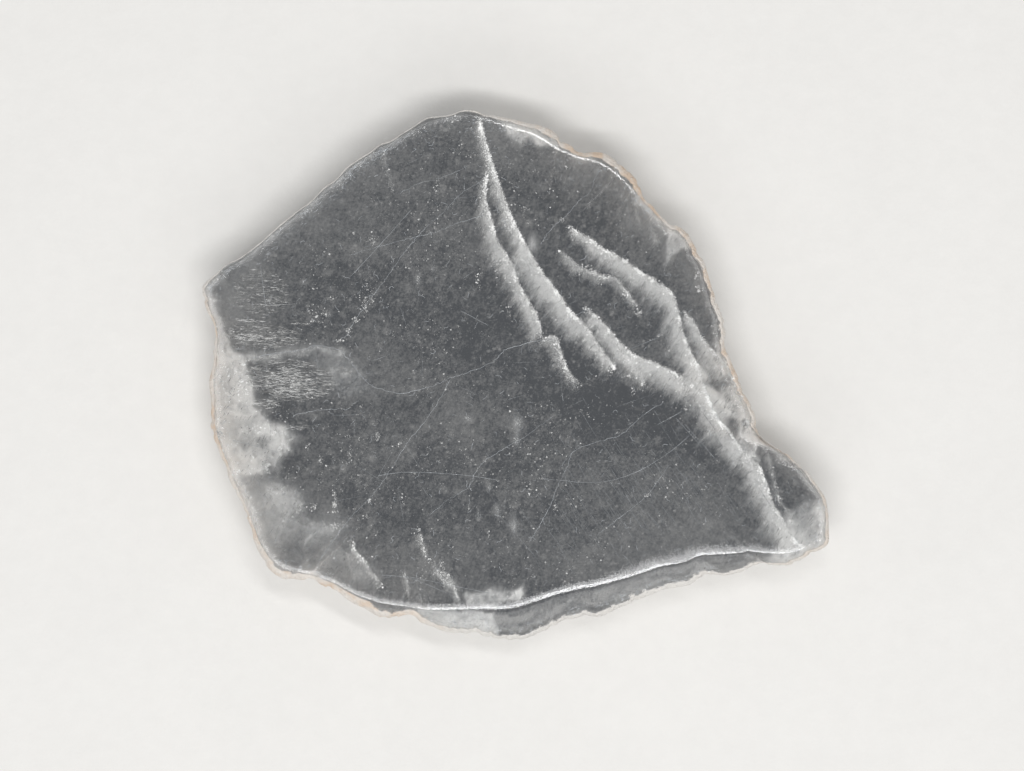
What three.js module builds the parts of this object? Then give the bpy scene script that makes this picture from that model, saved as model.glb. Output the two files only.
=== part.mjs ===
// A slab of ulexite, a white fibrous borate mineral, cut across its fibres.
//
// The slab is one natural piece, so it is one solid. It lies on its sawn base, which is flat.
// The face above it is flat and polished, and the polish rolls over the edge: a narrow rounded
// rim nearly everywhere, and a broad sloping bevel along the lower edge. The flanks between the
// rim and the base are the broken ends of upright fibre bundles, so they are fluted, and they
// draw in a little towards the base.
//
// Millimetres, +Z up. The origin is the centre of the outline's box, on the base.

import * as THREE from "three";

const THICKNESS = 10;

// The outline, counter-clockwise seen from above. Each point is [x, y, rim]: rim is how far
// the polished face stays inside the outline there.
const LEFT_EDGE = [
  [-39.4, 11, 0.4], [-39.2, 9.8, 0.5], [-38.8, 8.2, 0.4], [-38, 6.6, 0.5], [-37.7, 5.1, 0.5],
  [-38, 3.1, 0.5], [-37.8, 2.2, 0.4], [-38.2, 0.3, 0.4], [-38.4, -0.8, 0.4], [-38.2, -3.5, 0.5],
  [-38.4, -5.7, 0.6], [-38.3, -6.7, 0.6], [-37.7, -8.4, 0.5], [-36.9, -10.4, 0.5],
  [-36.3, -11.3, 0.5], [-36.1, -12.7, 0.5], [-35.3, -14.4, 0.5], [-34.4, -16, 0.5],
  [-34.1, -17, 0.6], [-33.3, -19, 0.6], [-32.9, -20.7, 0.6], [-32.1, -22.5, 0.8],
];
const LOWER_LEFT_EDGE = [
  [-31.1, -24.2, 1], [-30.1, -25.1, 1], [-28.9, -25.6, 1], [-27.9, -25.5, 0.9],
  [-26.9, -25.7, 0.9], [-25.9, -25.4, 0.6], [-25.2, -25.7, 0.6], [-24.2, -26.5, 1],
  [-23.2, -26.7, 1], [-22.4, -27.1, 0.8], [-21.7, -27.7, 0.9], [-20.3, -28.7, 1.1],
  [-18.7, -29.5, 1.4], [-17.4, -30.3, 1.6], [-15.9, -30.5, 1.6], [-14.4, -30.3, 1.2],
  [-13.4, -30, 0.9],
];
const BEVELLED_LOWER_EDGE = [
  [-12.6, -30.5, 1.1], [-12.1, -31, 1.6], [-10.7, -31.5, 2.1], [-9.4, -32.1, 2.6],
  [-7.6, -32.4, 2.9], [-4.7, -32.6, 3.1], [-3.3, -33, 3.4], [-1.7, -33.3, 3.6],
  [0.7, -33.3, 3.9], [2.2, -32.8, 3.9], [4.1, -32, 3.6], [5.9, -31, 3.4], [7.8, -30.5, 3.4],
  [9.3, -30.3, 3.5], [10.3, -30.5, 3.6], [11.8, -29.9, 3.6], [13.9, -29, 3.4],
  [15.7, -28.2, 3.1], [17.6, -27.4, 3], [19.1, -26.8, 2.9], [20.8, -26.6, 3],
  [22.2, -26.2, 2.9], [23.1, -25.5, 2.5], [24.6, -25.1, 2.5], [26.4, -25.2, 2.8],
  [28.2, -24.8, 2.8], [30.1, -24, 2.2], [30.9, -23.6, 1.8],
];
const RIGHT_LOBE = [
  [31.9, -23.9, 1.5], [33.8, -23.9, 1.5], [35.2, -23.5, 1.4], [36.4, -22.7, 1],
  [38.6, -21.6, 0.8], [39.2, -21, 0.6], [39.3, -19.5, 0.6], [39.3, -18.3, 0.6],
  [39.1, -16.5, 0.6], [38.8, -15.2, 0.6], [37.8, -13.7, 0.6], [36.6, -12, 0.6],
  [35.4, -11, 0.6], [34.2, -9.8, 0.6], [32.4, -8.8, 0.8], [30.9, -7.7, 0.8],
];
const RIGHT_EDGE = [
  [30.4, -6.9, 0.9], [30.2, -5.8, 1.1], [29.9, -4.3, 1.2], [28.7, -2.1, 1.4], [28, -0.3, 1.4],
  [27.1, 1.8, 1.4], [26.5, 3.5, 1.2], [26.4, 5.5, 1.1], [26.2, 6.8, 1], [25.5, 8.5, 0.9],
  [24.7, 11, 0.8], [24.1, 13, 0.8], [23.6, 14.3, 0.9], [22.6, 16.1, 1], [21.8, 17.6, 1.1],
  [21.1, 18.5, 1.1], [20.2, 18.9, 0.8], [19.2, 19, 0.5],
];
const UPPER_RIGHT_EDGE = [
  [18.6, 19.7, 0.4], [17.8, 20.5, 0.4], [17.2, 21.3, 0.4], [16.2, 22.2, 0.5], [15.8, 23.3, 0.8],
  [15.2, 24.7, 1], [13.8, 26, 1.1], [12.1, 27.4, 1], [10.8, 28.1, 0.9], [9.3, 28.1, 0.8],
  [7.9, 28.1, 0.8], [6.9, 28.9, 0.8], [5.8, 29.5, 1], [5.2, 30.4, 1.4], [4.2, 31, 1.2],
  [2.8, 31.5, 1], [1.2, 31.8, 0.9], [-1.1, 32.4, 0.9], [-2.7, 32.7, 0.8], [-3.9, 32.8, 0.5],
];
const UPPER_LEFT_EDGE = [
  [-5.1, 33.3, 0.4], [-6.6, 33.3, 0.3], [-8.2, 32.7, 0.3], [-9.9, 32.5, 0.3],
  [-11.3, 32.3, 0.3], [-13.1, 31.1, 0.3], [-14.5, 30.3, 0.3], [-15.6, 29.5, 0.3],
  [-16.8, 29.1, 0.3], [-18.7, 27.8, 0.3], [-21, 26.3, 0.3], [-22.8, 24.4, 0.3],
  [-23.8, 23.8, 0.3], [-25.7, 21.9, 0.3], [-27.2, 20.8, 0.3], [-28.6, 19.7, 0.3],
  [-30.3, 18.3, 0.3], [-31.7, 17, 0.3], [-33.3, 15.7, 0.4], [-34.9, 14.6, 0.4],
  [-36.1, 14.1, 0.4], [-37.8, 12.6, 0.4], [-38.9, 11.7, 0.4],
];
const OUTLINE = [
  ...LEFT_EDGE,
  ...LOWER_LEFT_EDGE,
  ...BEVELLED_LOWER_EDGE,
  ...RIGHT_LOBE,
  ...RIGHT_EDGE,
  ...UPPER_RIGHT_EDGE,
  ...UPPER_LEFT_EDGE,
];

const RING_POINTS = 288; // about one every 0.8 mm round the edge
const CURVE_DIVISIONS = 4000; // fine enough to space those points evenly

// The rim drops away below the polished face by RIM_DROP and RIM_SLOPE times its width.
const RIM_DROP = 0.35;
const RIM_SLOPE = 0.72;
// The polish starts to roll over this far inside the rim.
const SHOULDER_RUN = 0.35;
const SHOULDER_SHARE = 0.12;

// The flank draws in by TAPER at the base, and its flutes are up to FLUTE_DEPTH deep there.
const TAPER = 0.7;
const FLUTE_DEPTH = 0.5;
const FLUTES = [23, 61]; // how many coarse and fine flutes there are round the slab
const FLUTE_LEAN = [0.35, -0.2]; // turns that each set leans by, from the base to the rim
const FOOT_ROUND = 0.3; // the sawn base's edge is broken by this much

// Below this share of a square crossing, a ring's step inwards is no longer stretched.
const LEAST_CROSSING = 0.45;

const TURN = 2 * Math.PI;

// The outline as evenly spaced points, centred on its own box: x, y and the rim's width as z.
function outlinePoints() {
  const curve = new THREE.CatmullRomCurve3(
    OUTLINE.map((point) => new THREE.Vector3(...point)),
    true,
    "centripetal",
  );
  curve.arcLengthDivisions = CURVE_DIVISIONS;
  const points = curve.getSpacedPoints(RING_POINTS).slice(0, RING_POINTS);
  const centre = new THREE.Box3().setFromPoints(points).getCenter(new THREE.Vector3());
  return points.map(({ x, y, z }) => new THREE.Vector3(x - centre.x, y - centre.y, z));
}

// How deep the flutes are at a share of the way round and up the flank, from 0 to 1.
function flute(round, up) {
  const waves = FLUTES.map((count, i) => Math.sin(TURN * (count * round + FLUTE_LEAN[i] * up)));
  return 0.5 + 0.25 * (waves[0] + waves[1]);
}

// Flank levels: a share of the way up from the base to the rim gives [inset, height].
function flankLevel(up) {
  return (rim, round) => {
    const height = THICKNESS - RIM_DROP - RIM_SLOPE * rim;
    const drawnIn = 1 - up;
    return [drawnIn * (TAPER + FLUTE_DEPTH * flute(round, up)), up * height];
  };
}

// Rim levels: shares of the rim's width and of its drop give [inset, height].
function rimLevel(inward, below) {
  return (rim) => [inward * rim, THICKNESS - below * (RIM_DROP + RIM_SLOPE * rim)];
}

function footLevel(rim, round) {
  const [inset] = flankLevel(0)(rim, round);
  return [inset + FOOT_ROUND, 0];
}

function footRoundLevel(rim, round) {
  const [inset] = flankLevel(0)(rim, round);
  return [inset, FOOT_ROUND];
}

function polishedLevel(rim) {
  return [rim * (1 + SHOULDER_SHARE) + SHOULDER_RUN, THICKNESS];
}

// The section through the edge, from the base's rim up to the polished face's.
const SECTION = [
  footLevel,
  footRoundLevel,
  flankLevel(0.25),
  flankLevel(0.5),
  flankLevel(0.78),
  rimLevel(0, 1),
  rimLevel(0.06, 0.78),
  rimLevel(0.26, 0.5),
  rimLevel(0.84, 0.13),
  rimLevel(1, 0.04),
  polishedLevel,
];

// One ring of the section: each outline point stepped towards the middle and set at its height.
function ring(points, level) {
  return points.map((point, i) => {
    const before = points.at(i - 1);
    const after = points[(i + 1) % points.length];
    const outward = new THREE.Vector2(after.y - before.y, before.x - after.x).normalize();
    const radial = new THREE.Vector2(point.x, point.y).normalize();
    const crossing = Math.max(LEAST_CROSSING, outward.dot(radial));
    const [inset, height] = level(point.z, i / points.length);
    const step = inset / crossing;
    return new THREE.Vector3(point.x - radial.x * step, point.y - radial.y * step, height);
  });
}

// The closed skin over the rings: bands between them, and a flat cap on the first and last.
function skin(rings) {
  const count = rings[0].length;
  const index = [];
  for (let level = 0; level + 1 < rings.length; level++) {
    for (let i = 0; i < count; i++) {
      const next = (i + 1) % count;
      const low = level * count;
      const high = low + count;
      index.push(low + i, low + next, high + next);
      index.push(low + i, high + next, high + i);
    }
  }
  const flat = (points) => points.map(({ x, y }) => new THREE.Vector2(x, y));
  for (const [a, b, c] of THREE.ShapeUtils.triangulateShape(flat(rings[0]), [])) {
    index.push(a, c, b);
  }
  const top = (rings.length - 1) * count;
  for (const [a, b, c] of THREE.ShapeUtils.triangulateShape(flat(rings.at(-1)), [])) {
    index.push(top + a, top + b, top + c);
  }
  const geometry = new THREE.BufferGeometry().setFromPoints(rings.flat());
  geometry.setIndex(index);
  geometry.computeVertexNormals();
  return geometry;
}

function ulexiteSlab() {
  const points = outlinePoints();
  const material = new THREE.MeshStandardMaterial({
    color: 0x6d6f72, // smoky grey where it is clear
    roughness: 0.2,
    metalness: 0,
  });
  const slab = new THREE.Mesh(skin(SECTION.map((level) => ring(points, level))), material);
  slab.name = "ulexite_slab";
  return slab;
}

const specimen = new THREE.Group();
specimen.name = "ulexite";
specimen.add(ulexiteSlab());

export default specimen;
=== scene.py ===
import math
from collections import namedtuple

import bpy
import numpy as np
from bpy.props import FloatProperty, FloatVectorProperty, IntProperty, PointerProperty
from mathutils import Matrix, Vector
from mathutils.geometry import delaunay_2d_cdt


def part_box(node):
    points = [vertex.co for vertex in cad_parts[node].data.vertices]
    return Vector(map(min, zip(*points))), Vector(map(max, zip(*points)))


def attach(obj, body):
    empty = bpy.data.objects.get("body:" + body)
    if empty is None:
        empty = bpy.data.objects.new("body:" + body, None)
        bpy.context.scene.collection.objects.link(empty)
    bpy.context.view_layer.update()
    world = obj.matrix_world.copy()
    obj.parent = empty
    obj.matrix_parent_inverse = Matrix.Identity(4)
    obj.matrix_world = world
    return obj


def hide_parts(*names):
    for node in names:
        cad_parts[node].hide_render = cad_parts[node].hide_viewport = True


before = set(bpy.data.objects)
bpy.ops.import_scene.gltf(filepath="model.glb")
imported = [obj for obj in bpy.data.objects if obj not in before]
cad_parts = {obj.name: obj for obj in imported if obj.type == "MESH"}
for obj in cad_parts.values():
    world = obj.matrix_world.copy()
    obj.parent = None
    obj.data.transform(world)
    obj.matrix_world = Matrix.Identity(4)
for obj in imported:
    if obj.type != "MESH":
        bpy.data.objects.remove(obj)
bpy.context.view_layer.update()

bl_info = {
    "name": "Ulexite slab",
    "version": (1, 0, 0),
    "blender": (4, 5, 0),
    "location": "View3D > Sidebar > Ulexite",
    "description": "Builds a polished slab of ulexite, its silky white fibres and a plain stage",
    "category": "Add Mesh",
}

# ---------------------------------------------------------------------------------------
# Sizes. Lists of places are in millimetres, on the slab's face, in the frame's x and y.

MM = 0.001
NODE = "ulexite_slab"
BODY = "root"
LOW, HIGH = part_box(NODE)
FACE_SINK = 0.035  # the clear stone's face lies this far below the highest grains
FACE_Z = HIGH.z / MM - FACE_SINK  # and this high

# The direction, seen from above, in which every vein sinks below the face.
LEAN = np.array([math.cos(math.radians(235)), math.sin(math.radians(235))])
LEAN_TURN = np.degrees(math.atan2(LEAN[1], LEAN[0]))

Vein = namedtuple("Vein", "line reach strength sugar")
# line: where the vein meets the face. reach: how far it shows below it, at even steps along
# the line. strength: how dense its fibres are. sugar: how many bright grains a millimetre.
VEINS = {
    "crest": Vein(
        [(-4.6, 32.2), (-4.0, 29.8), (-3.0, 26.5), (-2.1, 23.8), (-0.8, 20.3), (0.2, 18.2),
         (1.7, 15.3), (3.3, 12.7), (5.4, 10.0), (6.9, 7.8), (8.9, 5.8), (10.3, 3.7),
         (11.7, 1.8), (12.4, 0.8)],
        (1.3, 1.4, 1.8, 3.2, 2.2, 1.6), 1.0, 38,
    ),
    "crest_branch": Vein(
        [(-3.6, 25.6), (-3.8, 22.0), (-3.2, 19.8), (-2.3, 16.7), (-0.8, 14.3), (0.3, 11.5),
         (1.3, 9.5), (2.7, 7.2), (3.2, 4.7)],
        (1.5, 2.3, 2.0, 2.0), 0.95, 22,
    ),
    "crest_foot": Vein(
        [(3.1, 4.4), (4.9, 4.8), (5.7, 2.6), (6.7, 0.2), (8.3, -1.3)],
        (1.2, 1.8, 1.3, 1.0), 0.82, 16,
    ),
    "ridge": Vein(
        [(6.4, 18.8), (7.9, 17.7), (9.3, 17.0), (10.8, 15.8), (12.2, 15.1), (13.9, 14.1),
         (15.8, 12.7), (17.7, 11.6), (19.6, 10.0), (20.3, 7.6), (20.9, 5.1), (21.8, 2.8),
         (22.7, 1.0), (23.4, -1.2), (24.3, -3.7), (25.2, -5.5), (26.6, -7.0), (27.7, -8.7),
         (30.2, -11.3), (31.3, -13.7), (32.1, -16.2), (33.2, -18.0), (33.9, -19.3),
         (35.6, -21.5)],
        (0.7, 2.0, 2.1, 2.8, 2.7, 3.0, 2.4, 2.5, 2.6, 2.2), 1.0, 30,
    ),
    "ridge_spur": Vein(
        [(5.3, 15.7), (6.3, 14.8), (8.0, 13.4), (9.2, 12.9), (10.7, 12.4), (12.5, 12.0),
         (13.8, 10.4), (15.4, 8.2)],
        (0.7, 1.3, 0.6), 0.7, 12,
    ),
    "middle": Vein(
        [(8.6, 8.5), (10.3, 7.1), (12.4, 4.7), (14.6, 2.6), (16.9, 1.6), (19.8, 0.2),
         (21.8, -1.0), (23.2, -2.2)],
        (1.5, 2.1, 2.7, 2.9, 2.4), 1.0, 19,
    ),
    "middle_foot": Vein(
        [(12.6, 3.6), (13.9, 2.2), (15.4, 0.6), (16.1, -1.2)], (1.6, 1.0), 0.85, 20,
    ),
    "outer": Vein(
        [(20.9, 8.0), (22.2, 6.6), (23.4, 4.5), (24.6, 3.0), (25.8, 1.7), (26.8, 0.3),
         (27.7, -1.2), (28.4, -3.0)],
        (1.4, 1.9, 2.4, 2.2), 0.93, 12,
    ),
    "edge_band": Vein(
        [(24.7, 9.0), (25.1, 6.0), (25.4, 3.5), (26.4, 1.0), (27.3, -1.5), (28.3, -4.0),
         (29.2, -6.6)],
        (0.5, 2.2), 0.45, 3,
    ),
    "lobe_strand": Vein(
        [(31.2, -9.3), (32.1, -11.8), (32.6, -14.3), (33.4, -16.2), (34.3, -17.4)],
        (0.5, 0.5), 0.5, 4,
    ),
    "low_comma": Vein(
        [(-20.3, -20.2), (-20.3, -21.2), (-19.8, -22.4), (-18.8, -23.4), (-18.2, -24.5),
         (-17.4, -25.3), (-16.7, -26.2)],
        (1.0, 0.7), 0.75, 9,
    ),
    "low_comma_side": Vein([(-21.3, -22.0), (-20.7, -24.0), (-20.1, -25.5)], (0.6, 0.4), 0.4, 3),
    "low_hook": Vein(
        [(-12.2, -19.0), (-11.8, -20.5), (-11.3, -22.0), (-10.7, -23.0)], (0.9, 0.6), 0.75, 9,
    ),
    "low_hook_tail": Vein(
        [(-10.3, -23.0), (-9.9, -24.3), (-8.7, -24.9), (-7.9, -25.9), (-7.2, -28.0),
         (-6.8, -28.8)],
        (0.6, 1.1, 0.5), 0.55, 6,
    ),
    "low_fleck": Vein([(-14.1, -24.3), (-13.7, -25.5), (-13.3, -27.8)], (0.6, 0.5), 0.65, 5),
    "low_fleck_side": Vein([(-12.1, -27.4), (-11.6, -28.9)], (0.5, 0.4), 0.5, 4),
    "upper_streak": Vein(
        [(14.4, 23.0), (14.8, 21.5), (15.2, 20.0), (15.9, 18.5)], (0.4, 0.6), 0.35, 0,
    ),
    "upper_haze": Vein([(12.4, 24.8), (11.1, 23.4), (9.6, 22.0), (8.4, 20.6)], (0.9, 0.5), 0.3, 0),
    "right_haze": Vein([(17.2, 20.4), (17.0, 18.5), (18.0, 16.0)], (0.8, 0.8), 0.35, 0),
    "top_fleck": Vein(
        [(-16.6, 28.2), (-16.2, 26.3), (-15.7, 24.5), (-15.1, 22.7)], (0.5, 0.5), 0.3, 3,
    ),
}

# Healed cracks: hairlines where they meet the face.
CRACKS = [
    [(-21.8, 3.2), (-20.7, 1.8), (-20.0, 0.9), (-18.0, -1.2), (-14.4, -2.2), (-10.7, -1.4),
     (-8.1, -0.3), (-5.4, 0.6), (-2.8, 1.8), (-1.4, 3.2), (0.6, 3.8), (2.4, 4.3), (5.1, 4.6)],
    [(-8.1, -0.4), (-9.7, -3.3), (-11.7, -6.2), (-13.6, -8.5), (-15.4, -11.4), (-17.1, -13.8),
     (-18.6, -15.7), (-20.7, -17.8), (-23.2, -21.2), (-24.7, -23.3)],
    [(4.8, -5.0), (0.6, -8.0), (-2.8, -9.9), (-4.9, -11.9), (-5.9, -13.9), (-8.1, -15.3),
     (-10.9, -17.5)],
    [(18.6, -3.2), (15.9, -5.0), (13.1, -7.4), (9.8, -8.4), (7.2, -9.5), (6.4, -11.5),
     (5.3, -13.7), (4.3, -16.3), (2.7, -19.2), (1.7, -20.8)],
    [(10.8, 26.0), (9.9, 24.5), (9.3, 23.0), (8.1, 22.0), (6.8, 20.5), (5.7, 19.5),
     (4.3, 18.2), (3.1, 16.3)],
    [(-3.8, 20.1), (-6.9, 19.2), (-9.4, 18.2), (-12.6, 17.3), (-15.1, 16.7), (-20.7, 15.1)],
    [(-3.8, 24.5), (-6.3, 23.2), (-7.6, 22.0), (-9.4, 20.1), (-11.3, 18.5), (-13.2, 16.3),
     (-14.4, 14.7), (-16.3, 12.0), (-18.4, 9.2), (-20.3, 6.6), (-21.3, 4.9), (-22.8, 4.3)],
    [(-5.7, 26.3), (-9.4, 24.7), (-11.9, 24.1), (-14.4, 22.8)],
    [(-33.0, 2.2), (-30.6, 2.7), (-27.0, 3.2), (-24.6, 3.8), (-21.8, 3.2)],
    [(19.3, -11.0), (16.4, -15.0), (13.1, -17.7), (10.1, -20.0)],
    [(-27.9, -5.0), (-24.9, -4.3), (-20.5, -4.1)],
]

Patch = namedtuple("Patch", "outline soft white")
# outline: a milky patch's edge. soft: how gradually it starts there. white: how milky it is.
PATCHES = {
    "left_edge": Patch(
        [(-38.5, 4.0), (-34.9, 3.4), (-33.2, 0.6), (-32.3, -2.8), (-30.6, -4.6), (-28.6, -5.8),
         (-27.1, -7.5), (-28.2, -9.8), (-29.4, -12.0), (-32.4, -13.0), (-35.6, -13.4), (-39, -8)],
        1.1, 0.76,
    ),
    "left_top": Patch(
        [(-36.6, 5.4), (-35.0, 4.0), (-32.9, 0.8), (-32.1, -2.0), (-32.6, -3.8), (-34.4, -3.0),
         (-35.9, -1.6), (-35.8, 0.8)],
        0.9, 0.9,
    ),
    "left_knot": Patch(
        [(-37.5, -6.2), (-36.6, -6.2), (-36.3, -7.2), (-36.6, -8.0), (-37.3, -7.8)], 0.2, 0.8,
    ),
    "left_corner": Patch(
        [(-29.6, -6.6), (-28.0, -7.4), (-28.3, -9.4), (-30.0, -11.6), (-32.0, -9.0)], 0.8, 0.72,
    ),
    "left_tip": Patch([(-40, 12), (-37.2, 10.0), (-36.5, 5.5), (-36.4, 2.0), (-40, 2)], 1.5, 0.34),
    "left_haze": Patch(
        [(-38, -9), (-33.5, -11), (-29, -12.0), (-26.0, -14.5), (-25.5, -18.0), (-27.5, -21),
         (-31, -25), (-36, -17)],
        3.2, 0.28,
    ),
    "left_low": Patch(
        [(-36.5, -13.5), (-33.0, -13.2), (-31.2, -15.6), (-31.6, -18.0), (-33.6, -19.4),
         (-35.5, -17)],
        1.6, 0.1,
    ),
    "left_foot": Patch(
        [(-31.5, -13.8), (-29.0, -13.0), (-26.4, -14.6), (-26.6, -17.2), (-29.0, -18.6),
         (-31.2, -17.0)],
        1.6, 0.5,
    ),
    "low_left": Patch([(-28, -18.2), (-24, -18.0), (-21.8, -20.0), (-26.5, -21.8)], 1.4, 0.5),
    "low_mid": Patch([(-25, -21), (-21, -20.5), (-20.6, -23.6), (-24.0, -24.8)], 1.8, 0.22),
    "comma_haze": Patch(
        [(-22.5, -21.0), (-19.0, -21.5), (-16.4, -25.5), (-17.5, -27.0), (-20.5, -26.2)], 1.6, 0.3,
    ),
    "hook_patch": Patch(
        [(-10.2, -23.8), (-8.8, -24.4), (-7.4, -25.6), (-7.2, -27.0), (-9.2, -26.6), (-9.8, -25.2)],
        0.5, 0.6,
    ),
    "low_wedge": Patch([(-27.3, -24.6), (-24.6, -23.4), (-24.5, -25.2), (-26, -26)], 0.6, 0.6),
    "upper_right": Patch(
        [(-2.6, 32.4), (0.5, 31.6), (4.4, 30.2), (5.4, 28.4), (2.8, 28.3), (1.8, 29.2),
         (0.4, 28.2), (-1.4, 29.6)],
        0.7, 0.95,
    ),
    "bevel_head": Patch(
        [(-7.0, -26.9), (-4.4, -26.5), (-2.9, -25.9), (-1.0, -26.5), (1.2, -26.0), (1.6, -26.8),
         (0.4, -28.4), (-2.5, -28.9), (-6.4, -28.9)],
        0.45, 0.82,
    ),
    "bevel_block": Patch(
        [(-12.6, -28.9), (-7.0, -29.1), (-2.6, -29.2), (-2.0, -31.2), (-2.6, -33.6), (-12, -32)],
        0.25, 0.71,
    ),
    "lobe": Patch(
        [(34.2, -16.4), (36.4, -15.2), (39.5, -15.5), (39.5, -22), (33.5, -24.3), (31.0, -22.6),
         (32.6, -19.6), (33.2, -17.4)],
        1.1, 0.82,
    ),
    "satin_wedge": Patch(
        [(-24.4, 3.6), (-21.6, 3.7), (-20.8, 2.9), (-22.0, 1.9), (-24.0, 2.4)], 0.5, 0.42,
    ),
    "satin_haze": Patch(
        [(-25.5, 2.6), (-20.5, 2.4), (-18.2, 0.6), (-17.6, -2.4), (-21.0, -2.8), (-25.5, -2.2)],
        1.8, 0.2,
    ),
    "satin_band": Patch(
        [(-36.8, 3.3), (-33.0, 3.3), (-29.0, 3.6), (-25.0, 4.1), (-22.4, 3.7), (-25.0, 2.5),
         (-29.0, 1.9), (-33.0, 1.5), (-36.8, 1.8)],
        0.8, 0.52,
    ),
    "right_edge": Patch(
        [(25.4, 4.6), (27.6, 4.0), (28.0, 1.0), (30.0, -4.0), (32.0, -8.5),
         (29.8, -9.3), (27.6, -4.0), (25.8, 0.5), (25.0, 2.6)],
        0.9, 0.72,
    ),
    "ridge_side": Patch(
        [(21.3, 2.6), (24.0, 1.2), (25.8, -1.6), (28.8, -5.6), (30.6, -8.6), (30.8, -11.4),
         (28.6, -9.9), (26.3, -7.4), (24.2, -4.6), (22.6, -1.8)],
        0.6, 0.76,
    ),
    "right_wedge": Patch(
        [(18.9, 18.8), (21.8, 18.4), (22.2, 15.4), (20.6, 15.0), (18.4, 12.9), (18.6, 15.8)],
        0.5, 0.6,
    ),
}

# Soft grey ovals, deep in the stone: x, y, half width, half height and how milky they are.
OVALS = [
    (2.2, 16.6, 0.7, 1.2, 0.7), (0.2, -5.9, 0.8, 1.2, 0.5), (0.1, -8.1, 0.7, 0.9, 0.45),
    (-2.3, -16.7, 0.5, 0.9, 0.5), (-4.6, -17.5, 0.4, 0.8, 0.36), (-0.2, -18.7, 0.7, 1.2, 0.5),
    (-23.0, -18.9, 1.9, 1.0, 0.4), (-26.6, 11.8, 0.4, 0.4, 0.4), (-12.2, 12.2, 0.5, 0.9, 0.3),
    (-3.3, -14.0, 0.4, 0.6, 0.4), (-23.3, 7.6, 0.4, 0.4, 0.4), (-6.0, -5.3, 0.7, 0.6, 0.3),
    (-10.4, 13.5, 0.4, 0.5, 0.3),
]

Cloud = namedtuple("Cloud", "x y width height amount")
# Broad faint clouds in the clear stone: where, half sizes and how much milkier they are.
CLOUDS = [
    Cloud(-26, 19, 10, 5, 0.2), Cloud(-34, 10, 4, 5, 0.22), Cloud(-26, -20, 6, 5, 0.2),
    Cloud(-14, -24, 9, 4, 0.2), Cloud(8, -23, 12, 4, 0.16), Cloud(22, -19, 9, 5, 0.16),
    Cloud(10, 25, 6, 3.5, 0.3), Cloud(17, 19, 4, 4, 0.36), Cloud(22, 12, 3, 4, 0.16),
    Cloud(-19, 0.5, 6, 4, 0.2), Cloud(4, -16, 8, 5, 0.06), Cloud(-2, 28, 5, 3, 0.22),
    Cloud(16, -5, 8, 5, -0.2), Cloud(-8, 6, 9, 7, -0.1), Cloud(5, 21, 3, 5, -0.1),
    Cloud(3, -2, 6, 4, -0.16), Cloud(-12, -7, 6, 3, 0.12), Cloud(-4, 20, 4, 5, 0.12),
    Cloud(7.5, 1.5, 3, 4, -0.3), Cloud(21, -5, 4, 4, -0.3), Cloud(-6, -6, 5, 4, 0.16),
    Cloud(-23, -16.8, 2, 2.6, 0.3), Cloud(-18, 10, 7, 5, -0.08),
]

# Clear pockets in the milky stone: x, y, half width, half height.
POCKETS = [
    (27.1, -6.7, 0.75, 1.15), (25.3, -0.9, 1.3, 0.7), (33.7, -13.4, 1.2, 2.5),
    (35.2, -14.8, 1.5, 1.5), (28.8, -6.0, 0.35, 0.4),
    (24.2, 6.4, 0.9, 2.2), (23.2, 9.4, 0.7, 1.6),
]

# The edge, by the turn round from +X in degrees: how tan it is, how wide its pale band is,
# how far its crust reaches in from the outline and how shiny its rim is.
EDGE = [
    (0, 0.65, 1.6, 0.5, 0), (8, 0.65, 1.0, 0.5, 0), (15, 0.5, 0.6, 0.45, 0),
    (30, 0.7, 0.8, 0.45, 0), (45, 0.5, 1.0, 0.5, 0), (54, 0.8, 1.1, 0.65, 0.5),
    (60, 1.0, 1.1, 0.75, 1),
    (75, 0.65, 1.2, 0.7, 1), (85, 0.5, 1.0, 0.6, 1), (97, 0.1, 0.5, 0.2, 0.8),
    (103, 0.0, 0.5, 0.1, 0.5), (160, 0.0, 0.7, 0.1, 0.5), (165, 0.3, 1.3, 0.3, 0.3),
    (178, 0.65, 1.6, 0.5, 0.2), (190, 0.85, 1.6, 0.75, 0.1), (205, 0.55, 1.6, 0.85, 0.1),
    (218, 0.6, 1.5, 0.95, 0.3), (230, 0.65, 1.3, 0.95, 1), (242, 0.6, 1.0, 0.85, 1),
    (250, 0.3, 0.8, 0.5, 1), (262, 0.08, 0.6, 0.45, 1), (300, 0.05, 0.6, 0.5, 1),
    (320, 0.08, 0.6, 0.5, 1), (330, 0.3, 0.8, 0.4, 0.6), (340, 0.3, 1.0, 0.4, 0.2),
    (346, 0.6, 1.2, 0.45, 0), (355, 0.65, 1.6, 0.5, 0),
]
SAWN = (101, 163)  # the straight sawn stretch of the edge, by the same turn
# Where the polished face rolls off towards its rim: the same turn, and how much it does.
ROLLED = [(200, 0), (225, 0), (240, 0.25), (285, 0.25), (303, 1), (318, 1), (324, 0.9), (329, 0)]
ROLL_DROP = 0.072  # how far it rolls off there at the most
ROLL_WIDTH = 2.1  # and over what width

Streaks = namedtuple("Streaks", "left right low high count white")
# Silky streaks: the box that a group fills, how many it has and how white they are. How white they
# are also sets the painted silky sheen on the face over them.
STREAKS = [
    Streaks(-35.0, -28.4, 7.2, 13.4, 620, 0.27), Streaks(-35.2, -31.3, 6.75, 7.05, 50, 0.65),
    Streaks(-28.2, -25.5, 6.4, 6.6, 20, 0.45), Streaks(-36.0, -27.0, 3.4, 6.6, 900, 0.25),
    Streaks(-35.4, -30.2, 4.3, 5.2, 140, 0.65), Streaks(-33.4, -22.6, -3.2, 2.1, 1300, 0.28),
    Streaks(-31.2, -25.0, -2.9, 0.9, 620, 0.56), Streaks(-32.8, -29.6, -4.1, -2.9, 80, 0.5),
    Streaks(-28.9, -26.0, -6.8, -6.1, 30, 0.55), Streaks(-22.9, -20.2, 0.2, 1.0, 20, 0.4),
]
STREAK_LEAN = -4  # degrees from +X

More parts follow.
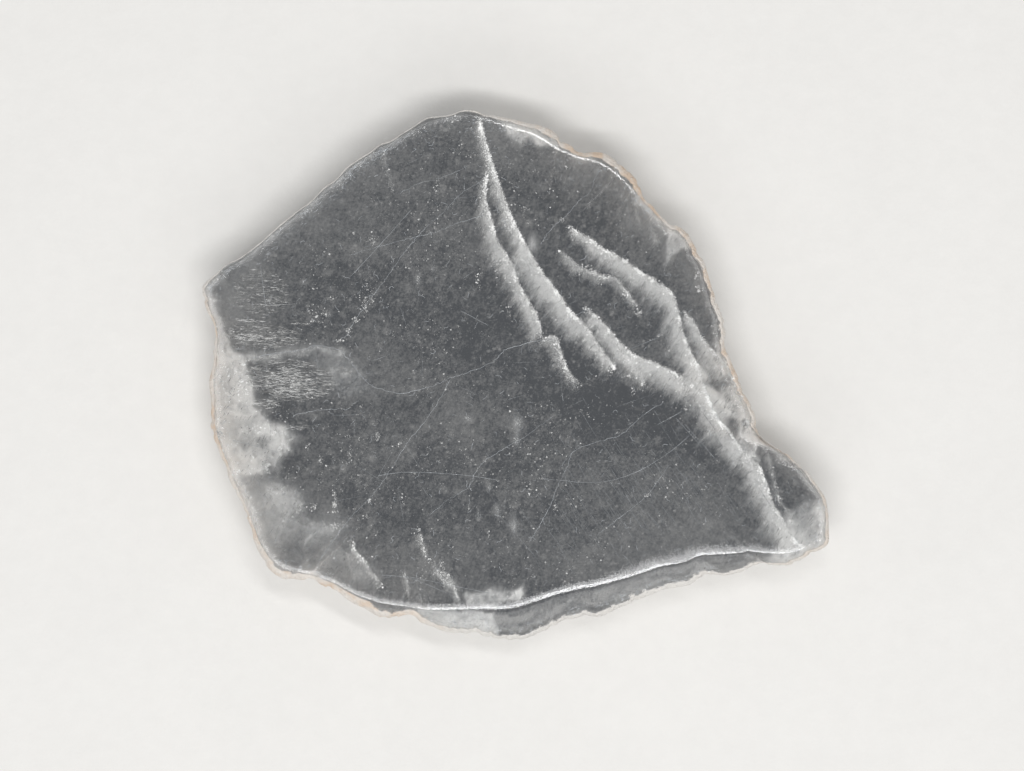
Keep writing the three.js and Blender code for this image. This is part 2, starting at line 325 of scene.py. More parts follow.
Speck = namedtuple("Speck", "x y width height count")
# Clusters of bright grains: where, their half width and half height, and how many grains.
SPECKS = [
    Speck(-20.1, 17.8, 0.25, 0.2, 12), Speck(-17.9, 17.0, 0.5, 0.6, 60),
    Speck(-9.8, 23.8, 0.3, 0.9, 40), Speck(-24.8, 10.9, 0.12, 0.12, 10),
    Speck(-23.0, 9.7, 0.22, 0.18, 12), Speck(-23.8, 7.8, 0.45, 0.2, 30),
    Speck(-25.4, 6.8, 0.2, 0.15, 16), Speck(-18.8, 8.8, 0.45, 0.9, 90),
    Speck(-17.9, 9.6, 0.3, 0.5, 40), Speck(-12.2, 12.1, 0.2, 0.6, 30),
    Speck(-24.4, -10.6, 0.25, 0.7, 46), Speck(-20.7, -9.9, 0.25, 0.9, 60),
    Speck(-31.4, -11.1, 0.4, 0.5, 70), Speck(-30.9, -12.0, 0.3, 0.3, 40),
    Speck(-30.6, -14.5, 0.6, 0.6, 110), Speck(-29.1, -14.2, 0.5, 0.5, 80),
    Speck(-27.1, -16.6, 0.45, 0.7, 120), Speck(-28.8, -17.9, 0.8, 0.3, 70),
    Speck(-22.6, -16.1, 0.25, 0.4, 70), Speck(-22.7, -17.0, 0.5, 0.1, 30),
    Speck(-22.9, -18.9, 1.3, 0.5, 130), Speck(-17.4, -19.6, 0.25, 0.4, 24),
    Speck(-18.7, -17.5, 0.25, 0.2, 20), Speck(-14.1, -15.7, 0.25, 0.9, 40),
    Speck(-14.6, -8.6, 0.25, 0.3, 20), Speck(-17.2, -7.7, 0.3, 0.5, 60),
    Speck(5.9, 26.1, 0.9, 0.2, 24), Speck(1.2, 20.9, 0.5, 0.25, 34),
    Speck(5.8, 19.5, 0.3, 0.3, 30), Speck(22.8, 11.0, 0.2, 0.5, 60),
    Speck(30.2, -11.3, 0.2, 0.5, 60), Speck(26.7, -3.8, 0.3, 0.7, 40),
    Speck(28.4, -5.9, 0.25, 0.35, 26), Speck(14.6, -1.9, 0.2, 0.5, 30),
    Speck(1.7, -14.6, 0.2, 0.5, 26), Speck(4.9, -16.6, 0.2, 0.9, 40),
    Speck(-3.4, -19.7, 0.15, 0.5, 18), Speck(23.4, -14.2, 0.3, 0.1, 16),
    Speck(16.6, -15.0, 0.3, 0.3, 20), Speck(-25.8, -2.7, 0.5, 0.3, 60),
    Speck(-29.0, 1.0, 0.2, 0.2, 20), Speck(22.5, 12.3, 0.15, 0.3, 30),
    Speck(21.3, -4.0, 0.3, 0.5, 40), Speck(15.4, 7.8, 0.25, 0.3, 50),
    Speck(-20.0, 7.0, 0.3, 0.4, 60), Speck(-20.8, 5.6, 0.35, 0.35, 70),
    Speck(-21.9, 4.4, 0.8, 0.12, 50), Speck(10.8, 12.5, 1.4, 0.5, 150),
    Speck(9.2, 13.6, 0.8, 0.5, 70), Speck(-2.3, 13.6, 0.15, 1.7, 70),
    Speck(-4.6, 12.3, 0.35, 1.0, 50), Speck(-1.0, 8.4, 0.9, 0.7, 40),
    Speck(-9.2, -23.7, 0.5, 0.8, 90), Speck(-8.4, -25.6, 0.7, 0.5, 90),
    Speck(-22.6, -15.0, 0.25, 0.8, 60), Speck(-25.2, -16.4, 0.5, 0.6, 70),
    Speck(-37.0, -7.1, 0.45, 0.7, 190), Speck(-24.5, 8.4, 1.6, 1.2, 60),
    Speck(-18.6, 11.0, 1.0, 2.0, 90),
    Speck(-12.6, 14.4, 2.2, 1.6, 60), Speck(-26.0, -8.8, 0.4, 1.4, 40),
]
SPECK_SHARE = 0.6  # of those grains are made
# Bigger white nodules: x, y and size.
NODULES = [
    (13.8, 14.3, 0.3), (15.6, 7.9, 0.26), (22.9, 10.6, 0.25), (-22.6, -16.1, 0.3),
    (28.9, -5.8, 0.26), (-18.3, -15.6, 0.22), (-24.9, 7.4, 0.22), (9.9, 13.0, 0.2),
    (-30.9, -11.2, 0.3), (-25.3, 10.9, 0.14), (-29.4, -9.0, 0.3),
]
NODULE_CRUMBS = 14
# Small rings of grains: x, y and radius.
RINGS = [
    (-23.0, 9.7, 0.28), (15.4, 7.8, 0.22), (-30.7, -14.5, 0.42), (-29.1, -14.2, 0.4),
    (28.8, -5.9, 0.4), (-17.2, -7.5, 0.3), (-19.4, -7.9, 0.22), (-20.9, -7.6, 0.2),
]
RING_CRUMBS = 60  # for each millimetre of its radius

# Long polishing scratches, and where the fine parallel ones are.
SCRATCHES = [
    [(-17.2, -12.5), (-14.4, -12.1), (-10.7, -12.1), (-5.7, -12.5), (-1.9, -13.1)],
    [(3.1, -12.8), (8.1, -13.3), (11.8, -13.1), (15.6, -11.8), (19.3, -9.5), (21.8, -7.4)],
    [(-16.9, -24.9), (-13.2, -25.3), (-9.4, -26.8), (-6.9, -28.0)],
    [(-14.4, -24.9), (-9.0, -26.0), (-3.0, -27.2)],
    [(17.6, -6.2), (20.9, -4.4)], [(20.0, -5.2), (23.4, -9.0)], [(21.0, -5.9), (25.0, -10.4)],
    [(-31.9, 13.9), (-31.2, 8.5)], [(-20.7, 12.3), (-16.2, 17.2), (-13.0, 20.8)],
    [(-35.5, -8.0), (-32.0, -8.9), (-29.6, -9.6)], [(13.2, 2.9), (17.9, 4.8)],
    [(5.0, 6.3), (9.6, 8.6)], [(-7.0, 8.2), (-3.2, 6.2)],
]
POLISH = (15, -16, 15, 9)  # x, y, half width and half height
POLISH_LEAN = -57  # degrees from +X
STRAY_LINES = 170  # places where a scratch of any other direction is tried

# How wide each kind of unevenness is on the flanks.
BUNDLE_WIDTH = 1.9
FIBRE_WIDTH = 0.42
SCOOP_WIDTH = 5.5
NIBBLE_WIDTH = 1.1
CHIP_WIDTH = 0.8
SAWN_SMOOTH = 0.85  # how much smoother the sawn stretch is than the rest

LEVELS_TO_RIM = 5  # the CAD's rings from the foot to the outline come before this one
FLANK_STEPS = (1, 4, 4, 5, 4)  # fine levels between each two of those rings
RIM_STEPS = (3, 4, 5, 3, 3)  # and between each two from the outline to the polished face
RIM_CURVE = 0.5  # how rounded the rim is between those rings
RIM_EASE = 24  # how many fine points either way the polished face's border is evened out over
EASE_LIMIT = 0.4  # by this share of its distance from the outline at the most
ROUND_STEPS = 4  # fine points between each two round the slab
SAME_TURN = 1e-4  # radians, within which points belong to one section of the edge

LEAST_SLANT = 0.3  # an edge that slants more than this to the spokes counts as this slanted
EDGE_ROOM = 0.12  # grains and needles stay this far inside the outline
BASE_ROOM = 0.05  # and this far above the base

SKIN = 0.08  # how thick the crust on the flanks is; the body is drawn in by as much
CRUST_SINK = 0.06  # how far the crust goes into the body
CRUST_RINGS = 14  # how many fine rings in from the outline it may cover
CRUST_STEP = 0.2  # about how far apart the fine points round the slab are
VEIN_FRONT = 0.13  # how sharply a vein starts on its upper side
VEIN_LEAD = 0.15  # and how far past its line
MILK_TOP = 0.05  # the milky veils' least depth
MILK_SCALE = 1.3  # how much deeper they lie where the milk has faded by a factor of e
MILK_CURVE = 1.3  # and how much faster they sink from there
MILK_FLOOR = 5.6  # where they end
VEIL_STEPS = (0.2, 0.17)  # spacing of the veils' points along LEAN and across it
VEIL_EDGE_ROOM = 0.08  # how far inside the outline they end
VEIL_BASE_ROOM = 0.4  # and how far above the base
VEIL_THIN, VEIL_THICK = 0.4, 0.8  # their thickness where faintest, and how much more at the whitest
VEIL_LEAST = 0.05  # and their least thickness
PROUD = FACE_SINK - 0.002  # how far grains and scratches may stand above the clear stone

CLEAR_MILK = 0.19  # how milky the clearest stone is at its face
MOST_MILK = 0.97  # how much of the clear stone one vein or patch hides at the most
RAGGED = 1.5  # how far the patches' edges are shifted about
PATCH_LUMPS = 1.1  # how uneven the patches are
POCKET_CLEAR = 0.8  # how much of the milk a pocket clears away
EDGE_PALE = 0.56  # how milky the pale band along the edge is
CRUST_PALE = 0.21  # and how much more where the edge has a crust
BAND_FADE = 1.6  # how far the faint milk beyond that band reaches
MOTTLE_HAZE, EDGE_HAZE, CRACK_HAZE = 0.16, 0.3, 0.16  # how milky the three hazes are
EDGE_HAZE_WIDTH = 3
CRACK_HAZE_WIDTH = 0.6
STAIN_CRUST, STAIN_TINGE = 0.75, 0.3  # how tan the stain on the edge and the tinge inside are
STAIN_WIDTH = 0.35
RIM_MILK_AND_SHEEN = 0.61  # how much of the rim's face is painted lighter where it slopes down from the face: partly rubbed white, partly painted sheen
FLANK_MILK = 0.7  # and how milky the broken flanks are
RIM_BROKEN = (0.8, 0.5, 0.2)  # how frosted the first fine rings in from the outline are
RIM_FROST = 0.75  # how frosted the rim is where it isn't shiny
RIM_FROST_WIDTH = 1.1
RUBBED_WIDTH = 1.3  # how wide the strip along the outline is where the rim is painted lighter still, rubbed white and painted sheen
BLOTS = 150  # small soft blots in the clear stone
BLOT_SIZES = (0.3, 0.8)  # their radii
BLOT_AMOUNTS = (0.04, 0.26)  # and how much milkier they are
STROKE_TURN = 62  # degrees from +X, the way the fine strokes in the clear stone lie

FLOOR_REACH = 1500  # how far the floor goes on each side
FLOOR_GAP = 0.02  # and how far under the base it lies
# The area lights: where each is, and its length and width, in metres.
LIGHTS = {
    "south_strip": ((-0.02, -0.29, 0.86), (0.6, 0.085)),
    "south_glow": ((-0.02, -0.19, 0.86), (0.6, 0.1)),
    "north_strip": ((0.117, 0.221, 0.86), (0.4, 0.07)),
    "south_panel": ((-0.05, -0.95, 0.76), (1.6, 0.36)),
}
CAMERA_HEIGHT = 450  # above the polished face
FRAME_WIDTH = 128  # of the face's plane, across the picture
FRAME_CENTRE = (-0.44, -1.22)
SENSOR = 36

# Where each scatter's random draws start. Each vein adds its own number.
SEEDS = {
    "needles": 100, "fur": 130, "sugar": 200, "frost": 301, "dots": 302, "specks": 303,
    "satin": 304, "wisps": 305, "polish": 306, "cracks": 307, "scratches": 308, "curls": 309,
    "rim": 310, "blots": 401,
}
NOISE_SIDE = 256  # random values along each side of the noise's table
TINY = 1e-9  # a division's least length


class SlabShape(bpy.types.PropertyGroup):
    bundle_depth: FloatProperty(
        name="Bundle depth", unit="LENGTH", default=0.42 * MM, min=0,
        description="How deep the grooves between the fibre bundles are on the flanks",
    )
    fibre_depth: FloatProperty(
        name="Fibre depth", unit="LENGTH", default=0.13 * MM, min=0,
        description="How deep the grooves between single fibres are on the flanks",
    )
    scoop_depth: FloatProperty(
        name="Scoop depth", unit="LENGTH", default=0.7 * MM, min=0,
        description="How deep the broad hollows in the flanks are",
    )
    nibble_depth: FloatProperty(
        name="Nibble depth", unit="LENGTH", default=0.3 * MM, min=0,
        description="How far the outline is nibbled in at the rim",
    )
    face_spacing: FloatProperty(
        name="Face spacing", unit="LENGTH", default=0.29 * MM, min=0.1 * MM,
        description="Spacing of the polished face's points",
    )


class StoneFinish(bpy.types.PropertyGroup):
    clear_colour: FloatVectorProperty(
        name="Clear stone", subtype="COLOR", size=3, default=(0.266, 0.284, 0.31), min=0, max=1,
        description="Tint of the clear smoky stone",
    )
    milk_colour: FloatVectorProperty(
        name="Milky stone", subtype="COLOR", size=3, default=(1.0, 1.0, 0.99), min=0, max=1,
        description="Tint of the milky stone",
    )
    fibre_colour: FloatVectorProperty(
        name="Fibres", subtype="COLOR", size=3, default=(0.97, 0.97, 0.955), min=0, max=1,
        description="Colour of the white fibres, veils and grains",
    )
    line_colour: FloatVectorProperty(
        name="Lines", subtype="COLOR", size=3, default=(0.91, 0.955, 1.0), min=0, max=1,
        description="Colour of the healed cracks and the scratches",
    )
    crust_colour: FloatVectorProperty(
        name="Crust", subtype="COLOR", size=3, default=(0.73, 0.71, 0.68), min=0, max=1,
        description="Colour of the chalky crust on the natural edge",
    )
    dirt_colour: FloatVectorProperty(
        name="Dirt", subtype="COLOR", size=3, default=(0.45, 0.43, 0.4), min=0, max=1,
        description="Colour of the dirt in the crust",
    )
    stain_colour: FloatVectorProperty(
        name="Stain", subtype="COLOR", size=3, default=(0.68, 0.54, 0.42), min=0, max=1,
        description="Colour of the tan stain on the natural edge",
    )
    clearness: FloatProperty(
        name="Clearness", default=0.78, min=0, max=1,
        description="Share of light that goes into the stone instead of scattering at its face",
    )
    depth_tint: FloatVectorProperty(
        name="Depth tint", subtype="COLOR", size=3, default=(0.0, 0.02, 0.04), min=0, max=1,
        description="Colour that the stone keeps with depth",
    )
    density: FloatProperty(
        name="Density", default=150, min=0, description="How fast the stone darkens with depth",
    )
    index: FloatProperty(name="Index", default=1.5, min=1, max=2, description="Index of refraction")


class FibreAmounts(bpy.types.PropertyGroup):
    needles: FloatProperty(
        name="Needles", default=70, min=0, description="Needles for each millimetre of a vein",
    )
    sugar: FloatProperty(
        name="Sugar", default=2.2, min=0, description="Share of the usual bright grains on veins",
    )
    frost: IntProperty(
        name="Frost", default=9000, min=0, description="Grains scattered over the milky stone",
    )
    dots: IntProperty(
        name="Dots", default=17000, min=0, description="Tiny dots scattered through the stone",
    )
    wisps: IntProperty(
        name="Wisps", default=3400, min=0, description="Faint short fibres in the clear stone",
    )
    curls: IntProperty(
        name="Curls", default=1200, min=0, description="Tiny curled hairs scattered over the face",
    )
    rim_strokes: IntProperty(
        name="Rim strokes", default=5200, min=0, description="Rubbed strokes tried on the bevel",
    )
    polish_lines: IntProperty(
        name="Polish lines", default=260, min=0, description="Fine parallel polishing scratches",
    )


class StageSetup(bpy.types.PropertyGroup):
    floor_colour: FloatVectorProperty(
        name="Floor", subtype="COLOR", size=3, default=(0.74, 0.73, 0.71), min=0, max=1,
        description="Colour of the floor",
    )
    sky: FloatProperty(name="Sky", default=0.43, min=0, description="Strength of the even light")
    south_strip: FloatProperty(
        name="South strip", default=3.0, min=0, description="Watts of the bevel's bright line",
    )
    south_glow: FloatProperty(
        name="South glow", default=1.25, min=0, description="Watts of the soft band above it",
    )
    north_strip: FloatProperty(
        name="North strip", default=1.5, min=0, description="Watts of the far rim's bright line",
    )
    south_panel: FloatProperty(
        name="South panel", default=2.8, min=0, description="Watts of the broad light on the bevel",
    )


# ---------------------------------------------------------------------------------------
# Numbers


def draws(name, extra=0):
    """The random draws of one scatter."""
    return np.random.default_rng(SEEDS[name] + extra)


def value_noise(points, cell, seed):
    """Smooth noise from 0 to 1 at 2D points, with lumps about cell across."""
    spots = np.asarray(points, float) / cell
    low = np.floor(spots).astype(int)
    part = spots - low
    part = part * part * (3 - 2 * part)
    table = np.random.default_rng(seed).random((NOISE_SIDE, NOISE_SIDE))

    def corner(i, j):
        return table[(low[:, 0] + i) % NOISE_SIDE, (low[:, 1] + j) % NOISE_SIDE]

    near = corner(0, 0) * (1 - part[:, 1]) + corner(0, 1) * part[:, 1]
    far = corner(1, 0) * (1 - part[:, 1]) + corner(1, 1) * part[:, 1]
    return near * (1 - part[:, 0]) + far * part[:, 0]


def layered_noise(points, cell, seed, layers=3):
    """Value noise with finer, fainter layers added."""
    points = np.asarray(points, float)
    parts = [value_noise(points, cell / 2**i, seed + i) / 2**i for i in range(layers)]
    return sum(parts) / sum(1 / 2**i for i in range(layers))


def smoothstep(low, high, value):
    """0 up to low, 1 from high on and a smooth rise between them."""
    t = np.clip((value - low) / (high - low), 0, 1)
    return t * t * (3 - 2 * t)


def cross(a, b):
    """The z part of the cross product of 2D vectors."""
    return a[..., 0] * b[..., 1] - a[..., 1] * b[..., 0]


def refine(rows, steps, closed=False, curve=1.0):
    """Rows with ones added: steps[i] for the gap after row i. curve: 1 is smooth, 0 is straight."""
    rows = np.asarray(rows, float)
    count = len(rows)
    out = []
    for i in range(count if closed else count - 1):
        near = [(i + k) % count if closed else min(max(i + k, 0), count - 1) for k in (-1, 0, 1, 2)]
        a, b, c, d = rows[near]
        for step in range(steps[i]):
            t = step / steps[i]
            bend = c - a + t * (2 * a - 5 * b + 4 * c - d + t * (3 * (b - c) + d - a))
            out.append(b + t * (0.5 * curve * bend + (1 - curve) * (c - b)))
    if not closed:
        out.append(rows[-1])
    return np.array(out)


def lengths_along(line):
    """How far along a line of points each point is."""
    steps = np.linalg.norm(np.diff(line, axis=0), axis=1)
    return np.concatenate([[0], np.cumsum(steps)])


def distance_to(points, a, b):
    """How far points are from the straight stretch from a to b."""
    side = b - a
    share = np.clip((points - a) @ side / (side @ side), 0, 1)
    return np.linalg.norm(points - a - share[:, None] * side, axis=1)


def eased(ring, width):
    """A closed ring of points, each moved to the weighted mean of those within width places."""
    weights = np.hanning(2 * width + 3)[1:-1]
    padded = np.concatenate([ring[-width:], ring, ring[:width]])
    columns = [np.convolve(column, weights / weights.sum(), "valid") for column in padded.T]
    return np.stack(columns, axis=1)


def oval_distance(points, x, y, width, height):
    """How far points are from an oval's middle, 1 on its outline, from its half sizes."""
    return np.hypot((points[:, 0] - x) / width, (points[:, 1] - y) / height)


def smooth_line(line, steps=6):
    """A line of points with a smooth curve of fine ones between them."""
    return refine(np.array(line, float), [steps] * (len(line) - 1))


# ---------------------------------------------------------------------------------------
# Where the stone is milky or stained


def reach_at(vein, share):
    """How far a vein shows below its line, at shares of the line's length."""
    return np.interp(share, np.linspace(0, 1, len(vein.reach)), vein.reach)


def trail(points, vein, seed):
    """How milky points are from a vein that sinks along LEAN below its line, from 0 to 1."""
    line = smooth_line(vein.line, 3)
    along = lengths_along(line)
    glow = np.zeros(len(points))
    streaks = np.stack([cross(points, LEAN) + 100, points @ LEAN * 0.16 + 50], axis=1)
    feather = 0.5 + 1.1 * layered_noise(streaks, 0.7, seed, 3)
    crumbs = VEIN_LEAD + 0.65 * (layered_noise(points + 120, 0.4, seed + 5, 2) - 0.5)
    ragged = 1.2 * (layered_noise(points + 150, 0.8, seed + 6, 2) - 0.5)
    for a, b, start in zip(line, line[1:], along):
        across = cross(b - a, LEAN)
        if abs(across) < 1e-6:
            continue
        share = cross(points - a, LEAN) / across
        sunk = cross(b - a, points - a) / across + crumbs
        place = start + share * np.linalg.norm(b - a)
        reach = reach_at(vein, place / along[-1])
        ends = smoothstep(0, 1.3, place + ragged) * smoothstep(0, 1.3, along[-1] - place + ragged)
        here = (share >= -0.02) & (share <= 1.02)
        behind = np.exp(-((np.maximum(-sunk, 0) / VEIN_FRONT) ** 2))
        below = np.maximum(sunk, 0)
        fade = np.exp(-((below / np.maximum(reach * feather, 0.1)) ** 4))
        fade = fade * (0.88 + 0.12 * np.exp(-((below / 0.25) ** 2)))
        glow = np.where(here, np.maximum(glow, fade * behind * ends), glow)
    grains = 0.88 + 0.24 * layered_noise(points + 170, 0.5, seed + 7, 2)
    return np.clip(glow * vein.strength * grains, 0, 1)


def outline_gap(points, outline):
    """How far points are inside a closed outline, or below 0 outside it."""
    corners = np.array(outline, float)
    gap = np.full(len(points), np.inf)
    inside = np.zeros(len(points), bool)
    for a, b in zip(corners, np.roll(corners, -1, axis=0)):
        gap = np.minimum(gap, distance_to(points, a, b))
        if a[1] != b[1]:
            spans = (a[1] > points[:, 1]) != (b[1] > points[:, 1])
            slope = (b[0] - a[0]) / (b[1] - a[1])
            inside ^= spans & (points[:, 0] < a[0] + slope * (points[:, 1] - a[1]))
    return np.where(inside, gap, -gap)


def turn_of(points):
    """The turn of points round from +X, in degrees from 0 to 360."""
    return np.degrees(np.arctan2(points[:, 1], points[:, 0])) % 360


def beside(points, table):
    """Each of a table's amounts by the turn, beside points."""
    marks, *amounts = np.array(table).T
    return [np.interp(turn_of(points), marks, amount, period=360) for amount in amounts]


def edge_look(points):
    """How tan, how wide a pale band, how far a crust and how shiny a rim the edge has there."""
    return beside(points, EDGE)


def sawn_share(points):
    """1 beside the sawn stretch of the edge and 0 elsewhere."""
    turn = turn_of(points)
    start, end = SAWN
    return smoothstep(start - 2, start + 1, turn) * smoothstep(-end - 2, 1 - end, -turn)


def whiteness(points, edge_gap):
    """How milky the stone is at points of the face that lie edge_gap inside its outline."""
    clear = np.ones(len(points))
    for i, vein in enumerate(VEINS.values()):
        clear *= 1 - MOST_MILK * trail(points, vein, 10 * i)
    shifts = [layered_noise(points + 70, 1.8, seed, 4) - 0.5 for seed in (71, 72)]
    ragged = points + RAGGED * np.stack(shifts, axis=1)
    lumps = layered_noise(points + 30, 1.8, 73, 2) + 0.8 * layered_noise(points + 35, 0.6, 74, 3)
    lumps = 1 + PATCH_LUMPS * (lumps - 0.9)
    for patch in PATCHES.values():
        spread = smoothstep(-0.4 * patch.soft, patch.soft, outline_gap(ragged, patch.outline))
        clear *= 1 - np.clip(patch.white * spread * lumps, 0, MOST_MILK)
    for *oval, white in OVALS:
        clear *= 1 - white * np.exp(-(oval_distance(points, *oval) ** 2.5))
    _, band, crust, _ = edge_look(points)
    pale = EDGE_PALE + CRUST_PALE * smoothstep(0.1, 0.3, crust)
    depth = np.maximum(edge_gap, 0) * (0.55 + 0.45 * lumps) / band
    clear *= 1 - pale * np.exp(-(depth**3))
    clear *= 1 - 0.4 * pale * np.exp(-depth / BAND_FADE)
    white = 1 - clear
    for pocket in POCKETS:
        white *= 1 - POCKET_CLEAR * np.exp(-(oval_distance(ragged, *pocket) ** 3))
    return white


def crack_glow(points):
    """How close points are to a healed crack, from 0 to 1."""
    gap = np.full(len(points), np.inf)
    for line in CRACKS:
        line = np.array(line)
        for a, b in zip(line, line[1:]):
            gap = np.minimum(gap, distance_to(points, a, b))
    return np.exp(-((gap / CRACK_HAZE_WIDTH) ** 2))


def blots(points):
    """Small soft blots scattered through the clear stone."""
    rng = draws("blots")
    spots = rng.uniform((LOW.x, LOW.y), (HIGH.x, HIGH.y), (BLOTS, 2)) / MM
    shift = 0.8 * (layered_noise(points + 330, 0.7, 403, 2) - 0.5)
    total = np.zeros(len(points))
    sizes = rng.uniform(*BLOT_SIZES, BLOTS)
    amounts = rng.uniform(*BLOT_AMOUNTS, BLOTS)
    for spot, size, amount in zip(spots, sizes, amounts):
        away = np.linalg.norm(points + shift[:, None] - spot, axis=1) / size
        total += amount * np.exp(-(away**2))
    return total


def haze(points, edge_gap):
    """The faint unevenness of the clear stone: 0 at its usual, 1 where it is white."""
    mottle = smoothstep(0.3, 0.75, layered_noise(points + 200, 7, 5, 4))
    near_edge = np.exp(-np.maximum(edge_gap, 0) / EDGE_HAZE_WIDTH)
    total = MOTTLE_HAZE * mottle + EDGE_HAZE * near_edge
    broken_up = layered_noise(points + 250, 2.5, 7, 4)
    total += CRACK_HAZE * crack_glow(points) * smoothstep(0.3, 0.7, broken_up)
    for cloud in CLOUDS:
        away = oval_distance(points, cloud.x, cloud.y, cloud.width, cloud.height)
        total += cloud.amount * np.exp(-(away**2)) * (0.5 + broken_up)
    return np.clip(total + blots(points), -0.2, 1)


def painted_silk_sheen(points):
    """How much painted silky sheen the face gets at points, from the groups of streaks that lie
    there.
    """
    silk = np.zeros(len(points))
    shifts = [layered_noise(points + 310, 1.3, seed, 3) - 0.5 for seed in (95, 195)]
    ragged = points + np.stack(shifts, axis=1) * (3.5, 1.6)
    for group in STREAKS:
        middle = np.array([group.left + group.right, group.low + group.high]) / 2
        half = np.array([group.right - group.left, group.high - group.low + 0.4]) / 2
        away = np.linalg.norm((ragged - middle) / half, axis=1)
        silk = np.maximum(silk, group.white * (1 - smoothstep(0.25, 1.2, away)))
    return silk


def staining(points, edge_gap):
    """How tan the stone is: a crust on the edge and a warm tinge inside it."""
    tan, band, _, _ = edge_look(points)
    depth = np.maximum(edge_gap, 0)
    patches = layered_noise(points + 60, 1.3, 81)
    crust = np.exp(-((depth / STAIN_WIDTH) ** 2)) * smoothstep(0.25, 0.6, patches)
    return tan * (STAIN_CRUST * crust + STAIN_TINGE * np.exp(-depth / (band * 2.2)))


# ---------------------------------------------------------------------------------------
# Meshes


def mesh_object(name, points, faces, material, smooth=True, tone=None):
    """A mesh piece made of points in millimetres, in the record's slot and on the slab.

    tone: how white each point is, for the materials that read it.
    """
    mesh = bpy.data.meshes.new(name)
    mesh.from_pydata((np.asarray(points) * MM).tolist(), [], [list(f) for f in faces])
    mesh.polygons.foreach_set("use_smooth", [smooth] * len(mesh.polygons))
    mesh.materials.append(material)
    piece = bpy.data.objects.new(name, mesh)
    bpy.context.scene.collection.objects.link(piece)
    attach(piece, BODY)
    if tone is not None:
        point_values(mesh, "tone", tone)
    return piece


def scattered(name, parts, material):
    """A piece made of many small flat-faced ones: parts is their points, faces and tones."""
    points, faces, tones = parts
    return mesh_object(name, points, faces, material, smooth=False, tone=tones)


def point_values(mesh, name, values):
    """Stores one number a point, for a material to read by that name."""
    mesh.attributes.new(name, "FLOAT", "POINT").data.foreach_set("value", values)


def frames_across(axes):
    """Two unit vectors across each axis."""
    helper = np.where(np.abs(axes[:, 2:3]) < 0.9, [[0, 0, 1]], [[1, 0, 0]])
    side = np.cross(axes, helper)
    side /= np.linalg.norm(side, axis=1, keepdims=True)
    return side, np.cross(axes, side)


NEEDLE_WAIST = 0.3  # where along a needle it is thickest
NEEDLE_FACES = np.array([(0, 2, 1), (0, 3, 2), (0, 1, 3), (4, 1, 2), (4, 2, 3), (4, 3, 1)])


def needle_mesh(starts, ends, radii):
    """Three-sided needles, pointed at both ends."""
    axes = ends - starts
    units = axes / np.linalg.norm(axes, axis=1, keepdims=True)
    side, up = frames_across(units)
    waist = starts + axes * NEEDLE_WAIST
    spokes = [
        waist + radii[:, None] * (side * math.cos(turn) + up * math.sin(turn))
        for turn in (0, math.tau / 3, 2 * math.tau / 3)
    ]
    points = np.stack([starts, *spokes, ends], axis=1)
    faces = NEEDLE_FACES[None] + 5 * np.arange(len(starts))[:, None, None]
    return points.reshape(-1, 3), faces.reshape(-1, 3)


def thread_mesh(line, radii):
    """One three-sided thread along a line of points, pointed at both ends."""
    axes = np.gradient(line, axis=0)
    side, up = frames_across(axes / np.linalg.norm(axes, axis=1, keepdims=True))
    turns = (0, math.tau / 3, 2 * math.tau / 3)
    spokes = [line + radii[:, None] * (side * math.cos(t) + up * math.sin(t)) for t in turns]
    points = np.stack(spokes, axis=1)[1:-1].reshape(-1, 3)
    count = len(line) - 2
    place = 3 * np.arange(count - 1)[:, None] + np.arange(3)
    turned = 3 * np.arange(count - 1)[:, None] + np.array([1, 2, 0])
    sides = np.stack([place, turned, turned + 3, place, turned + 3, place + 3], axis=2)
    start, end, last = 3 * count, 3 * count + 1, 3 * count - 3
    tips = [(start, k, (k + 1) % 3) for k in range(3)]
    tips += [(end, last + (k + 1) % 3, last + k) for k in range(3)]
    return np.concatenate([points, line[[0, -1]]]), np.concatenate([sides.reshape(-1, 3), tips])


CRUMB_SIDES = 5
CRUMB_MOST = 0.14  # the biggest grains' radius


def crumb_mesh(tops, radii, rng):
    """Low crumbs with five uneven corners, domed above and pointed below."""
    count = len(tops)
    shape = (count, CRUMB_SIDES)
    turns = math.tau * (np.arange(CRUMB_SIDES) + rng.uniform(0, 0.8, shape)) / CRUMB_SIDES
    away = radii[:, None] * rng.uniform(0.6, 1.25, shape)
    drop = rng.uniform(0.004, 0.022, shape)
    ring = tops[:, None] + np.stack([away * np.cos(turns), away * np.sin(turns), -drop], axis=2)
    foot = tops - np.column_stack([np.zeros((count, 2)), 0.05 + 0.8 * radii])
    points = np.concatenate([tops[:, None], ring, foot[:, None]], axis=1)
    corner = np.arange(CRUMB_SIDES)
    after = (corner + 1) % CRUMB_SIDES
    middle = np.zeros(CRUMB_SIDES, int)
    upper = np.column_stack([middle, corner + 1, after + 1])
    lower = np.column_stack([middle + CRUMB_SIDES + 1, after + 1, corner + 1])
    first = (CRUMB_SIDES + 2) * np.arange(count)[:, None, None]
    faces = np.concatenate([upper, lower])[None] + first
    return points.reshape(-1, 3), faces.reshape(-1, 3)


def crumb_radii(rng, count, least, shape, size, most=CRUMB_MOST):
    """Random radii for crumbs: many small ones and a few big ones."""
    return np.minimum(least + rng.gamma(shape, size, count), most)


def ring_quads(levels, count):
    """The quads between closed rings of count points each, one ring after the other."""
    first = np.arange(levels - 1)[:, None] * count
    low = (first + np.arange(count)).ravel()
    after = (first + (np.arange(count) + 1) % count).ravel()
    return np.column_stack([low, after, after + count, low + count])


